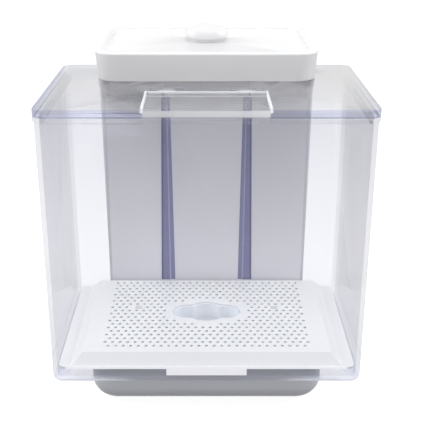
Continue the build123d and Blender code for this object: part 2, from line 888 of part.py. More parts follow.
# Impeller: a disc with straight blades, fixed on the magnet
impeller_low = magnet_low + magnet_height
with BuildPart() as impeller:
    with BuildSketch(Plane.XY.offset(impeller_low)):
        with Locations((0, rotor_y)):
            Circle(rotor_radius)
    extrude(amount=impeller_height / 4)
    with BuildSketch(Plane.XY.offset(impeller_low)):
        with Locations((0, rotor_y)):
            Circle(2 * shaft_radius)
            with PolarLocations(rotor_radius / 2, impeller_blades):
                Rectangle(rotor_radius - impeller_blade_margin, impeller_blade_width)
    extrude(amount=impeller_height - impeller_top_gap)
    with Locations((0, rotor_y, impeller_low)):
        Cylinder(shaft_bore, 4 * impeller_height, mode=Mode.SUBTRACT)
write(impeller, "impeller")

# Riser tube: carries the water up the duct to the filter tray
riser_top = lid_top + filter_tray_wall + riser_rise
with BuildPart() as riser_tube:
    with BuildSketch(Plane.XY.offset(pump_rim)):
        with Locations((0, riser_y)):
            Circle(riser_radius)
            Circle(riser_bore, mode=Mode.SUBTRACT)
    extrude(amount=riser_top - pump_rim)
write(riser_tube, "riser_tube")

# Cable gland: a rubber grommet in the tower's rear wall for the pump's lead
with BuildPart() as cable_gland:
    with Locations((0, tower_back, gland_z)):
        Cylinder(
            gland_flange,
            tower_wall / 2,
            rotation=(90, 0, 0),
            align=from_top,
        )
    with Locations((0, tower_back - tower_wall, gland_z)):
        Cylinder(
            gland_radius,
            tower_wall,
            rotation=(90, 0, 0),
            align=from_top,
        )
    with Locations((0, tower_back, gland_z)):
        Cylinder(gland_radius / 3, 4 * tower_wall, rotation=(90, 0, 0), mode=Mode.SUBTRACT)
write(cable_gland, "cable_gland")

# Pedestal base: a white shell with a large round under its edge, open below for its
# cover and above for the pump well
base_depth = base_back - base_front
base_y = (base_back + base_front) / 2
cover_screws_at = [
    (x * cover_screw_spacing_x / 2, base_y + y * cover_screw_spacing_y / 2)
    for x in (-1, 1)
    for y in (-1, 1)
]
pad_front = base_front + pad_inset
pad_back = tank_back - pad_rear_margin
pad_width = base_width - 2 * pad_inset
with BuildPart() as base_cavity:
    with BuildSketch(Plane.XY.offset(base_bottom + base_wall)):
        rounded(
            base_width - 2 * base_wall,
            base_depth - 2 * base_wall,
            base_corner - base_wall,
            base_y,
        )
    extrude(amount=base_height - 2 * base_wall)
    fillet(base_cavity.faces().sort_by(Axis.Z)[0].edges(), base_lower_round - base_wall)
with BuildPart() as base_shell:
    with BuildSketch(Plane.XY.offset(base_bottom)):
        rounded(base_width, base_depth, base_corner, base_y)
    extrude(amount=base_height)
    fillet(base_shell.faces().sort_by(Axis.Z)[0].edges(), base_lower_round)
    fillet(base_shell.faces().sort_by(Axis.Z)[-1].edges(), base_top_round)
    add(base_cavity.part, mode=Mode.SUBTRACT)
    with BuildSketch(Plane.XY.offset(base_bottom)):
        rounded(
            base_width - 2 * base_cover_inset,
            base_depth - 2 * base_cover_inset,
            base_corner / 2,
            base_y,
        )
    extrude(amount=base_wall, mode=Mode.SUBTRACT)
    with Locations((0, well_y, base_top)):
        Box(
            well_width + 2 * fit_gap,
            well_depth + 2 * fit_gap,
            4 * base_wall,
            mode=Mode.SUBTRACT,
        )
    with Locations((0, (pad_front + pad_back) / 2, base_top)):
        Box(
            pad_width,
            pad_back - pad_front,
            2 * (pad_thickness - pad_proud),
            mode=Mode.SUBTRACT,
        )
    with Locations(*[(x, y, base_bottom + base_cover_thickness) for x, y in cover_screws_at]):
        Cylinder(
            boss_radius,
            base_height - base_cover_thickness - base_wall / 2,
            align=from_base,
        )
        Cylinder(
            screw_radius + thread_gap,
            2 * screw_length,
            mode=Mode.SUBTRACT,
        )
    with Locations(*[(x, y, base_top) for x, y in tower_screws_at]):
        Cylinder(screw_radius + screw_hole_gap, 4 * base_wall, mode=Mode.SUBTRACT)
write(base_shell, "base_shell")

# Base cover: the plate under the base, with sockets for the feet
with BuildPart() as base_cover:
    with BuildSketch(Plane.XY.offset(base_bottom)):
        rounded(
            base_width - 2 * base_cover_inset - 2 * base_cover_clearance,
            base_depth - 2 * base_cover_inset - 2 * base_cover_clearance,
            base_corner / 2 - base_cover_clearance,
            base_y,
        )
    extrude(amount=base_cover_thickness)
    with Locations((0, base_y, base_bottom)):
        with GridLocations(foot_spacing_x, foot_spacing_y, 2, 2):
            Cylinder(foot_radius, 2 * foot_socket, mode=Mode.SUBTRACT)
    with Locations(*[(x, y, base_bottom) for x, y in cover_screws_at]):
        Cylinder(screw_radius + screw_hole_gap, 4 * base_cover_thickness, mode=Mode.SUBTRACT)
        Cylinder(
            screw_head_radius + screw_hole_gap, 2 * screw_head_height, mode=Mode.SUBTRACT
        )
write(base_cover, "base_cover")

# Feet: four rubber discs in the cover's sockets
with BuildPart() as base_feet:
    with Locations((0, base_y, 0)):
        with GridLocations(foot_spacing_x, foot_spacing_y, 2, 2):
            Cylinder(foot_radius, foot_proud + foot_socket, align=from_base)
    chamfer(base_feet.faces().group_by(Axis.Z)[0].edges(), foot_proud / 3)
write(base_feet, "base_feet")


def screw_group(places, seat):
    """Pan-head screws driven upwards, their heads' upper faces at the seat height."""
    with BuildPart() as screws:
        with Locations(*[(x, y, seat) for x, y in places]):
            Cylinder(screw_radius, screw_length, align=from_base)
            Cylinder(
                screw_head_radius,
                screw_head_height,
                align=from_top,
            )
    return screws


base_cover_screws = screw_group(cover_screws_at, base_bottom + screw_head_height)
write(base_cover_screws, "base_cover_screws")
tower_screws = screw_group(tower_screws_at, base_top - base_wall)
write(tower_screws, "tower_screws")

# Tank pad: a thin foam sheet that the tank stands on
with BuildPart() as tank_pad:
    with Locations((0, (pad_front + pad_back) / 2, tank_bottom)):
        Box(
            pad_width,
            pad_back - pad_front,
            pad_thickness,
            align=from_top,
        )
write(tank_pad, "tank_pad")

# Filter tray: a shallow box on the lid and the tower, under the filter cover
cover_taper = cover_width_top - cover_width_bottom
cover_low_depth = cover_depth - cover_taper
filter_tray_width = cover_width_bottom - 2 * (cover_wall + filter_tray_gap)
filter_tray_depth = cover_low_depth - 2 * (cover_wall + filter_tray_gap)
filter_tray_corner = cover_corner - cover_wall - filter_tray_gap
with BuildPart() as filter_tray:
    with BuildSketch(Plane.XY.offset(lid_top)):
        rounded(filter_tray_width, filter_tray_depth, filter_tray_corner, cover_y)
    extrude(amount=filter_tray_height)
    with BuildSketch(Plane.XY.offset(lid_top + filter_tray_wall)):
        rounded(
            filter_tray_width - 2 * filter_tray_wall,
            filter_tray_depth - 2 * filter_tray_wall,
            filter_tray_corner - filter_tray_wall,
            cover_y,
        )
    extrude(amount=filter_tray_height, mode=Mode.SUBTRACT)
    with BuildSketch(Plane.XY.offset(lid_top)):
        with Locations(*outlet_places):
            SlotOverall(outlet_slot_length, outlet_slot_width)
        with Locations((0, riser_y)):
            Circle(riser_radius + riser_fit)
    extrude(amount=filter_tray_wall, mode=Mode.SUBTRACT)
write(filter_tray, "filter_tray")

# Filter sponge: fills the filter tray between the riser and the outlet slots
sponge_front = lid_front + outlet_y + outlet_slot_width
sponge_back = riser_y - 2 * riser_radius
with BuildPart() as filter_sponge:
    with Locations((0, (sponge_front + sponge_back) / 2, lid_top + filter_tray_wall)):
        Box(
            filter_tray_width - 2 * (filter_tray_wall + sponge_gap),
            sponge_back - sponge_front,
            sponge_height,
            align=from_base,
        )
write(filter_sponge, "filter_sponge")

# Filter cover: a white cap with leaning sides, a round edge and a recessed top
knob_y = cover_y + knob_back_shift
cover_ceiling = panel_top - cover_wall
with BuildPart() as filter_cover:
    with BuildSketch(Plane.XY.offset(lid_top)):
        rounded(cover_width_bottom, cover_low_depth, cover_corner, cover_y)
    with BuildSketch(Plane.XY.offset(cover_top)):
        rounded(cover_width_top, cover_depth, cover_corner, cover_y)
    loft()
    fillet(filter_cover.faces().sort_by(Axis.Z)[-1].edges(), cover_edge_round)
    with BuildSketch(Plane.XY.offset(panel_top)):
        rounded(
            cover_width_top - 2 * cover_rim,
            cover_depth - 2 * cover_rim,
            cover_corner - cover_rim / 2,
            cover_y,
        )
    extrude(amount=2 * cover_recess, mode=Mode.SUBTRACT)
    with BuildSketch(Plane.XY.offset(lid_top)):
        rounded(
            cover_width_bottom - 2 * cover_wall,
            cover_low_depth - 2 * cover_wall,
            cover_corner - cover_wall,
            cover_y,
        )
    with BuildSketch(Plane.XY.offset(cover_ceiling)):
        rounded(
            cover_width_top - 2 * cover_wall,
            cover_depth - 2 * cover_wall,
            cover_corner - cover_wall,
            cover_y,
        )
    loft(mode=Mode.SUBTRACT)
    with Locations((0, knob_y, cover_ceiling)):
        Cylinder(knob_screw_radius + screw_hole_gap, 4 * cover_wall, mode=Mode.SUBTRACT)
write(filter_cover, "filter_cover")

# Cover gasket: a soft ring under the cover's ceiling, over the filter tray's rim
with BuildPart() as cover_gasket:
    with BuildSketch(Plane.XY.offset(cover_ceiling - gasket_thickness)):
        rounded(filter_tray_width, filter_tray_depth, filter_tray_corner, cover_y)
        offset(amount=-2 * filter_tray_wall, mode=Mode.SUBTRACT)
    extrude(amount=gasket_thickness)
write(cover_gasket, "cover_gasket")

# Knob: a flattened ball on a short neck, turned about its own axis
knob_belly = panel_top + knob_height - knob_half_height
knob_neck_top = panel_top + knob_neck_height / 3
with BuildPart() as knob:
    with BuildSketch(Plane.XZ.offset(-knob_y)):
        with BuildLine():
            Line((0, panel_top), (knob_neck_radius, panel_top))
            Line((knob_neck_radius, panel_top), (knob_neck_radius, knob_neck_top))
            Spline(
                (knob_neck_radius, knob_neck_top),
                (knob_radius, knob_belly),
                tangents=[(1, 0.25), (0, 1)],
            )
            Spline(
                (knob_radius, knob_belly),
                (knob_radius / sqrt(2), knob_belly + knob_half_height / sqrt(2)),
                (0, knob_belly + knob_half_height),
                tangents=[(0, 1), (-1, 0)],
            )
            Line((0, knob_belly + knob_half_height), (0, panel_top))
        make_face()
    revolve(axis=Axis((0, knob_y, 0), (0, 0, 1)))
    with Locations((0, knob_y, panel_top)):
        Cylinder(
            knob_screw_radius + thread_gap,
            knob_screw_depth + knob_bore_spare,
            align=from_base,
            mode=Mode.SUBTRACT,
        )
write(knob, "knob")

# Knob screw: driven up through the cover into the knob
with BuildPart() as knob_screw:
    with Locations((0, knob_y, cover_ceiling)):
        Cylinder(knob_screw_radius, cover_wall + knob_screw_depth, align=from_base)
        Cylinder(
            knob_screw_head,
            knob_screw_head_height,
            align=from_top,
        )
write(knob_screw, "knob_screw")
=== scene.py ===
# %% [markdown]
# A clear desktop fish tank with a white filter tower, dressed for its picture.
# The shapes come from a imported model, which this script loads as a fixed frame. It
# then gives every piece a finish, and models again the pieces whose edges, holes or
# softness show. All lengths are metres, and the front of the tank faces -Y.

import json
import math

import bmesh
import bpy
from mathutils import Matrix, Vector, noise


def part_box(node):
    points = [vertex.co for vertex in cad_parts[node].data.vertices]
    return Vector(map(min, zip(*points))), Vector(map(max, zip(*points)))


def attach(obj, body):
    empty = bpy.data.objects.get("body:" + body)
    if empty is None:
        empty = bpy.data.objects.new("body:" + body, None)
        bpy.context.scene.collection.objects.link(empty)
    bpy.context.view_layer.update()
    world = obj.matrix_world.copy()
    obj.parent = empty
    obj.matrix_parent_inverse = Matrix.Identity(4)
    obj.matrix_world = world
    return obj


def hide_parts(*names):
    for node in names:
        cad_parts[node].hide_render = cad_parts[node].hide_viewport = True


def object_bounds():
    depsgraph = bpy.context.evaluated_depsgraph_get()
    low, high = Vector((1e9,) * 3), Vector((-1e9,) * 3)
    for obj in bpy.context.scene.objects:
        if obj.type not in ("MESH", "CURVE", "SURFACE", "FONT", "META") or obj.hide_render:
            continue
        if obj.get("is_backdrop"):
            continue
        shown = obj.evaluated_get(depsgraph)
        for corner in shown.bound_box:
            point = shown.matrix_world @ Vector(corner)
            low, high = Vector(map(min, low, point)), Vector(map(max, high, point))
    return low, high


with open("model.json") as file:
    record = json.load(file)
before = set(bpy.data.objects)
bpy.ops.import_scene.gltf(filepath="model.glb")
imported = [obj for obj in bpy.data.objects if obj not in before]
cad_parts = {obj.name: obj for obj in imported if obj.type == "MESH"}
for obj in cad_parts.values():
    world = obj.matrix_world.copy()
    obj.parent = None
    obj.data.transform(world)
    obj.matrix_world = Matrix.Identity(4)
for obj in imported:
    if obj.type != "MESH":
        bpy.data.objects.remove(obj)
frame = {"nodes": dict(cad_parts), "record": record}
cad_low, cad_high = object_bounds()
nodes = frame["nodes"]
bodies = frame["record"]["behaviour"]["bodies"]
body_of = {node: body for body, members in bodies.items() for node in members}
slot_of = {row["node"]: row["material_slot"] for row in frame["record"]["subparts"]}
print("nodes", len(nodes), "box", [round(v, 4) for v in (*cad_low, *cad_high)])

# %% [markdown]
# The picture was taken from in front and a little above, with a fairly long lens. The
# camera stands as far from the front edge of the lid as the lens and the tilt need to
# lay the lid's edges and the rows of holes where they are in the picture. A small
# sideways shift of the lens puts the tank left of the middle, with no turn. The lens
# and its sensor are in millimetres, as cameras have them. Sight passes through up to
# thirty-two clear faces, since the tank's walls stand one behind another.

# %% Camera
IMAGE_SIDE = 430
SENSOR_WIDTH = 36.0
LENS_LENGTH = 72.6
CAMERA_TILT = math.radians(21.27)
CAMERA_IN_FRONT = 0.482
CAMERA_ABOVE_LID = 0.124
TANK_CENTRE_PIXEL = 206.5
CLEAR_FACES = 32
lid_low, lid_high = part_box("lid")
tank_low, tank_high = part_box("tank_shell")
hatch_low, hatch_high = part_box("feed_hatch")
plate_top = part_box("filter_tray")[0].z
lens_data = bpy.data.cameras.new("picture_camera")
lens_data.sensor_width = SENSOR_WIDTH
lens_data.lens = LENS_LENGTH
lens_data.shift_x = (IMAGE_SIDE / 2 - TANK_CENTRE_PIXEL) / IMAGE_SIDE
camera = bpy.data.objects.new("picture_camera", lens_data)
camera.location = (0, lid_low.y - CAMERA_IN_FRONT, plate_top + CAMERA_ABOVE_LID)
camera.rotation_euler = (math.pi / 2 - CAMERA_TILT, 0, 0)
bpy.context.scene.collection.objects.link(camera)
bpy.context.scene.camera = camera
bpy.context.scene.view_settings.view_transform = "Standard"
bpy.context.scene.cycles.transparent_max_bounces = CLEAR_FACES
print("camera at", [round(v, 4) for v in camera.location])

# %% [markdown]
# A material here is a short tree of shader nodes. These helpers add a node, set its
# sockets by name and join sockets, so that each finish below reads as a recipe.


# %% Node helpers
def add_node(tree, kind, **values):
    """Adds a node of this kind, and sets the sockets or settings that are named."""
    node = tree.nodes.new(kind)
    for name, value in values.items():
        label = name.replace("_", " ")
        found = [socket for socket in node.inputs if socket.name.lower() == label]
        if found:
            found[0].default_value = value
        else:
            setattr(node, name, value)
    return node


def new_material(name):
    """An empty material with an output, and its node tree."""
    material = bpy.data.materials.new(name)
    material.use_nodes = True
    tree = material.node_tree
    tree.nodes.clear()
    output = tree.nodes.new("ShaderNodeOutputMaterial")
    return material, tree, output


def object_noise(tree, scale, detail=3.0):
    """Noise that is fixed to the piece, in its own coordinates."""
    place = tree.nodes.new("ShaderNodeTexCoord")
    pattern = add_node(tree, "ShaderNodeTexNoise", scale=scale, detail=detail)
    tree.links.new(place.outputs["Object"], pattern.inputs["Vector"])
    return pattern.outputs[0]


def spread(tree, source, low, high):
    """Maps a 0 to 1 value onto a narrow range, such as a roughness."""
    ranged = add_node(tree, "ShaderNodeMapRange", to_min=low, to_max=high)
    tree.links.new(source, ranged.inputs[0])
    return ranged.outputs[0]


def grain(tree, source, strength, distance):
    """A bump whose height is the given value."""
    bump = add_node(tree, "ShaderNodeBump", strength=strength, distance=distance)
    tree.links.new(source, bump.inputs["Height"])
    return bump.outputs[0]


def arithmetic(tree, operation, first, second):
    """One step of arithmetic on two sockets or numbers."""
    step = add_node(tree, "ShaderNodeMath", operation=operation)
    for socket, value in zip(step.inputs, (first, second)):
        if isinstance(value, (int, float)):
            socket.default_value = value
        else:
            tree.links.new(value, socket)
    return step.outputs[0]


def place_along(tree, axis):
    """Where a spot lies along one axis of the piece."""
    place = tree.nodes.new("ShaderNodeTexCoord")
    parts = tree.nodes.new("ShaderNodeSeparateXYZ")
    tree.links.new(place.outputs["Object"], parts.inputs[0])
    return parts.outputs[axis]


def share_between(tree, source, start, end):
    """Rises from 0 to 1 while the source goes from its start value to its end value."""
    ranged = add_node(tree, "ShaderNodeMapRange", from_min=start, from_max=end)
    tree.links.new(source, ranged.inputs[0])
    return ranged.outputs[0]


def most(tree, shares):
    """The greatest of several shares."""
    best = shares[0]
    for share in shares[1:]:
        best = arithmetic(tree, "MAXIMUM", best, share)
    return best


def product(tree, factors):
    """Several shares or numbers multiplied."""
    result = factors[0]
    for factor in factors[1:]:
        result = arithmetic(tree, "MULTIPLY", result, factor)
    return result


def blended(tree, share, first, second):
    """A colour that goes from the first to the second with a share."""
    mix = tree.nodes.new("ShaderNodeMix")
    mix.data_type = "RGBA"
    tree.links.new(share, mix.inputs[0])
    for socket, colour in zip([s for s in mix.inputs if s.type == "RGBA"], (first, second)):
        if isinstance(colour, tuple):
            socket.default_value = (*colour, 1)
        else:
            tree.links.new(colour, socket)
    return [s for s in mix.outputs if s.type == "RGBA"][0]


def mixed(tree, share, first, second):
    """A surface that goes from the first to the second with a share."""
    mix = tree.nodes.new("ShaderNodeMixShader")
    for socket, source in zip(mix.inputs, (share, first, second)):
        tree.links.new(source, socket)
    return mix.outputs[0]


# %% [markdown]
# The white parts are injection-moulded: one even colour, a satin skin, and a slight
# unevenness that only shows in the gloss. Two noises do it, a broad one that shifts
# the colour and roughness by a hair, and a fine one for the skin of the mould.


# %% Moulded plastic
COAT_ROUGHNESS = 0.12
PAINTED_GLOW_COLOUR = (0.97, 0.97, 1.0)
BROAD_SCALE = 18.0
FINE_SCALE = 900.0
SKIN_HEIGHT = 0.0002


def moulded(name, colour, roughness, coat=0.0, skin=0.05, mottle=0.02, painted_glow=0.0):
    """Moulded plastic or rubber of one colour. The painted glow is white light that it gives
    off, though it is no lamp.
    """
    material, tree, output = new_material(name)
    shader = add_node(tree, "ShaderNodeBsdfPrincipled", ior=1.5, coat_weight=coat)
    shader.inputs["Coat Roughness"].default_value = COAT_ROUGHNESS
    shader.inputs["Emission Color"].default_value = (*PAINTED_GLOW_COLOUR, 1)
    # Painted glow: white light given off by the part to brighten it, though it is no lamp.
    shader.inputs["Emission Strength"].default_value = painted_glow
    broad = object_noise(tree, BROAD_SCALE)
    duller = tuple(c * (1 - mottle) for c in colour)
    brighter = tuple(min(1, c * (1 + mottle)) for c in colour)
    tree.links.new(blended(tree, broad, duller, brighter), shader.inputs["Base Color"])
    uneven = spread(tree, broad, roughness * 0.85, roughness * 1.15)
    tree.links.new(uneven, shader.inputs["Roughness"])
    fine = object_noise(tree, FINE_SCALE, 2.0)
    tree.links.new(grain(tree, fine, skin, SKIN_HEIGHT), shader.inputs["Normal"])
    tree.links.new(shader.outputs[0], output.inputs["Surface"])
    return material


# %% [markdown]
# A thin clear wall hardly shifts what is behind it, so this plastic lets sight pass
# straight through and mirrors a share that grows towards a glancing view, as a real
# wall does. Each face holds back a little sight and no lamp light, and more sight
# towards the top of the tank as painted shade. The tint is an absorption inside the
# wall, so it is faint face on and lavender along the edges, where sight travels a long
# way through it. A grip that is frosted is milky in front of a given place, and painted
# highlights are milky lines that glow a little.


# %% Clear plastic
HEAD_ON_MIRROR = 0.03
GLANCING_POWER = 5.0
FACE_LOW = (0.953, 0.954, 0.965)
FACE_HIGH_SHADED = (0.912, 0.913, 0.93)
WALL_SHADE_START = 0.09
WAVE_SCALE = 16.0
WAVE_STRENGTH = 0.08
WAVE_HEIGHT = 0.001
HAZE_SCALE = 40.0
FROST_BLEND = 0.0003
MILK_ROUGHNESS = 0.4
HIGHLIGHT_GLOW = 0.28


def glancing(tree):
    """The mirrored share of a clear wall: small face on, and full at a glancing view."""
    facing = add_node(tree, "ShaderNodeLayerWeight", blend=0.5)
    power = arithmetic(tree, "POWER", facing.outputs["Facing"], GLANCING_POWER)
    return spread(tree, power, HEAD_ON_MIRROR, 1.0)


def within(tree, limits):
    """How far a spot is inside limits. Each is an axis, where it starts and where it is full."""
    return [share_between(tree, place_along(tree, axis), *reach) for axis, *reach in limits]


def milk(tree, colour, glow=0.0):
    """A milky surface of one colour, or of a colour that a function works out."""
    shader = add_node(tree, "ShaderNodeBsdfPrincipled", roughness=MILK_ROUGHNESS)
    shader.inputs["Emission Strength"].default_value = glow
    if callable(colour):
        tree.links.new(colour(tree), shader.inputs["Base Color"])
    else:
        shader.inputs["Base Color"].default_value = (*colour, 1)
        shader.inputs["Emission Color"].default_value = (*colour, 1)
    return shader.outputs[0]


def clear(
    name,
    tint,
    density,
    polish=0.03,
    haze=0.0,
    haze_colour=(1, 1, 1),
    frost=None,
    dim=1.0,
    edges=None,
    edge_colour=(0.76, 0.78, 0.88),
    lit=None,
    highlight_colour=(0.84, 0.86, 0.95),
    highlight_strength=0.7,
):
    """See-through plastic. The haze is the share of its surface that is milky.

    The frost gives the limits that the haze keeps to. Inside any one of the edges the
    wall turns to its edge colour. The painted highlights are milky lines that glow a
    little on the wall: each is a list of limits that hold together.
    """
    material, tree, output = new_material(name)
    see = add_node(tree, "ShaderNodeBsdfTransparent")
    low_face = tuple(1 - dim * (1 - c) for c in FACE_LOW)
    shaded_face = tuple(1 - dim * (1 - c) for c in FACE_HIGH_SHADED)
    # Painted shade: the faces hold back more sight towards the top of the tank.
    (rise,) = within(tree, [("Z", tank_low.z + WALL_SHADE_START, tank_high.z)])
    shown = blended(tree, rise, low_face, shaded_face)
    if edges:
        shown = blended(tree, most(tree, within(tree, edges)), shown, edge_colour)
    tree.links.new(shown, see.inputs["Color"])
    mirror = add_node(tree, "ShaderNodeBsdfGlossy", roughness=polish)
    waves = grain(tree, object_noise(tree, WAVE_SCALE, 1.0), WAVE_STRENGTH, WAVE_HEIGHT)
    tree.links.new(waves, mirror.inputs["Normal"])
    surface = mixed(tree, glancing(tree), see.outputs[0], mirror.outputs[0])
    if haze:
        cloudy = spread(tree, object_noise(tree, HAZE_SCALE), haze * 0.9, haze * 1.1)
        if frost:
            cloudy = product(tree, [cloudy, *within(tree, frost)])
        surface = mixed(tree, cloudy, surface, milk(tree, haze_colour))
    # Painted highlights: milky lines that glow a little, though the wall is no lamp.
    if lit:
        shares = [product(tree, [*within(tree, limits), highlight_strength]) for limits in lit]
        surface = mixed(tree, most(tree, shares), surface, milk(tree, highlight_colour, HIGHLIGHT_GLOW))
    path = tree.nodes.new("ShaderNodeLightPath")
    unshaded = tree.nodes.new("ShaderNodeBsdfTransparent")
    surface = mixed(tree, path.outputs["Is Shadow Ray"], surface, unshaded.outputs[0])
    tree.links.new(surface, output.inputs["Surface"])
    inside = add_node(tree, "ShaderNodeVolumeAbsorption", density=density)
    inside.inputs["Color"].default_value = (*tint, 1)
    tree.links.new(inside.outputs[0], output.inputs["Volume"])
    return material


# %% [markdown]
# The two dividers in the tower are violet, with a painted shade along the outer edge and
# a painted highlight line where the thick part meets the thin fin beside it. Both lines
# lean with the divider, so their places go from a foot value to a top value with the height.


# %% Divider colours
DIVIDER_VIOLET = (0.3, 0.3, 0.54)
DIVIDER_SHADE = (0.13, 0.13, 0.33)
DIVIDER_HIGHLIGHT = (0.62, 0.64, 0.84)
OUTER_EDGE = (0.0348, 0.0325)
INNER_EDGE = (0.0279, 0.0288)
SHADE_BAND = (0.0018, 0.0008)
HIGHLIGHT_LINE = (0.0007, 0.0002)


def divider_colour_and_shading(tree):
    """Violet, with a painted shade along the outer edge and a painted highlight along the inner
    one.
    """
    low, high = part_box("left_partition")
    away = arithmetic(tree, "ABSOLUTE", place_along(tree, "X"), 0.0)
    (rise,) = within(tree, [("Z", low.z, high.z)])
    outer = spread(tree, rise, *OUTER_EDGE)
    inner = spread(tree, rise, *INNER_EDGE)
    from_outer = arithmetic(tree, "SUBTRACT", outer, away)
    beside_inner = arithmetic(tree, "SUBTRACT", away, inner)
    from_inner = arithmetic(tree, "ABSOLUTE", beside_inner, 0.0)
    # Painted shade along the outer edge, and a painted highlight line along the inner one.
    dark = share_between(tree, from_outer, *SHADE_BAND)
    pale = share_between(tree, from_inner, *HIGHLIGHT_LINE)
    colour = blended(tree, dark, DIVIDER_VIOLET, DIVIDER_SHADE)
    return blended(tree, pale, colour, DIVIDER_HIGHLIGHT)


# %% [markdown]
# The screws and the knob's screw are bright steel, and the magnet is a dull sintered
# block. Metal has no colour of its own under its surface: it is all reflection, so
# the roughness does the work, stretched a little by the turning marks.


# %% Metal
MARKS_SCALE = 1400.0
MARKS_HEIGHT = 0.0001


def metal(name, colour, roughness):
    """Bare metal with fine uneven marks."""
    material, tree, output = new_material(name)
    shader = add_node(tree, "ShaderNodeBsdfPrincipled", metallic=1.0)
    shader.inputs["Base Color"].default_value = (*colour, 1)
    marks = object_noise(tree, MARKS_SCALE, 4.0)
    uneven = spread(tree, marks, roughness * 0.7, roughness * 1.4)
    tree.links.new(uneven, shader.inputs["Roughness"])
    tree.links.new(grain(tree, marks, 0.15, MARKS_HEIGHT), shader.inputs["Normal"])
    tree.links.new(shader.outputs[0], output.inputs["Surface"])
    return material


# %% [markdown]
# The edges of the clear pieces are told by place: a narrow band inside each side of the
# lid, the lowest millimetres of the tank, and a fine painted highlight round the hatch.
# The white parts are copies of one white in different painted shades: some glow a little
# as painted light, the cap, knob and tray, which face the lamps, are darker as painted
# shade, and the base is darkest, as the painted shadow of the tank over it.


# %% All finishes
def both_sides(axis, low, high, start, full):
    """Limits that run inwards from both faces of a box, towards the face."""
    return [(axis, low + start, low + full), (axis, high - start, high - full)]


WHITE = (0.88, 0.88, 0.89)
CLEAR_TINT = (0.45, 0.47, 0.7)
LID_BAND = (0.0022, 0.0016)
LID_EDGES = both_sides("Y", lid_low.y, lid_high.y, *LID_BAND)
LID_EDGES += both_sides("X", lid_low.x, lid_high.x, *LID_BAND)
TANK_EDGES = [("Z", tank_low.z + 0.0034, tank_low.z + 0.0024)]
FOOT_BAND = ("Z", tank_low.z + 0.0036, tank_low.z + 0.0028)
FRONT_BAND = ("Y", tank_low.y + 0.012, tank_low.y + 0.006)
FRONT_ENDS = both_sides("X", tank_low.x, tank_high.x, 0.056, 0.03)
SIDE_BANDS = both_sides("X", tank_low.x, tank_high.x, 0.012, 0.006)
# Painted highlights along the tank's foot, by its front ends and its sides.
TANK_HIGHLIGHTS = [[FOOT_BAND, FRONT_BAND, end] for end in FRONT_ENDS]
TANK_HIGHLIGHTS += [[FOOT_BAND, side_band] for side_band in SIDE_BANDS]
HATCH_REAR_LINE = [
    ("Y", hatch_high.y - 0.0066, hatch_high.y - 0.0062),
    ("Y", hatch_high.y - 0.0046, hatch_high.y - 0.005),
]
HATCH_SIDE_LINES = both_sides("X", hatch_low.x, hatch_high.x, 0.0014, 0.001)
# Painted highlights in fine lines round the hatch.
HATCH_HIGHLIGHTS = [HATCH_REAR_LINE] + [[line] for line in HATCH_SIDE_LINES]
BAR_BACK = hatch_low.y + 0.0034
PULL_TOP = hatch_low.z + 0.0034
BAR_TOP = plate_top + 0.0005
GRIP_FROST = [
    ("Y", BAR_BACK, BAR_BACK - FROST_BLEND),
    ("Z", PULL_TOP, PULL_TOP + FROST_BLEND),
    ("Z", BAR_TOP, BAR_TOP - FROST_BLEND),
]
MOULDED = {
    "white_plastic": dict(colour=WHITE, roughness=0.34, coat=0.15),
    # Painted shade: the cap and knob are darker copies of the white, so that their lamp-facing
    # tops stay below white.
    "cover_white": dict(colour=(0.75, 0.75, 0.762), roughness=0.3),
    "knob_white": dict(colour=(0.72, 0.72, 0.73), roughness=0.3),
    # Painted light: the back panel, chamber floor and tower glow a little, though they are no
    # lamp.
    "lit_white": dict(colour=WHITE, roughness=0.34, coat=0.15, painted_glow=0.14),
    "tower_white": dict(colour=WHITE, roughness=0.34, coat=0.15, painted_glow=0.04),
    # Painted shade: the tray is a darker copy of the white.
    "tray_white": dict(colour=(0.82, 0.83, 0.84), roughness=0.34, coat=0.1),
    # Painted light: the pull tab glows the most.
    "tab_white": dict(colour=WHITE, roughness=0.34, coat=0.15, painted_glow=0.38),
    # Painted shadow: the base is a much darker copy of the white, for the tank's shadow over it.
    "base_white": dict(colour=(0.6, 0.61, 0.65), roughness=0.34, coat=0.15),
    "grey_plastic": dict(colour=(0.62, 0.63, 0.66), roughness=0.35),
    "pump_plastic": dict(colour=(0.03, 0.03, 0.033), roughness=0.45, skin=0.25),
    "potting": dict(colour=(0.02, 0.02, 0.028), roughness=0.2, coat=0.3, skin=0.08),
    "foot_rubber": dict(colour=(0.55, 0.55, 0.56), roughness=0.75, skin=0.4),
    "foam": dict(colour=(0.82, 0.82, 0.83), roughness=0.95, skin=0.9, mottle=0.05),
    "sponge": dict(colour=(0.85, 0.86, 0.87), roughness=0.95, skin=1.0, mottle=0.08),
    "ceramic": dict(colour=(0.86, 0.85, 0.82), roughness=0.15, coat=0.6, skin=0.02),
}
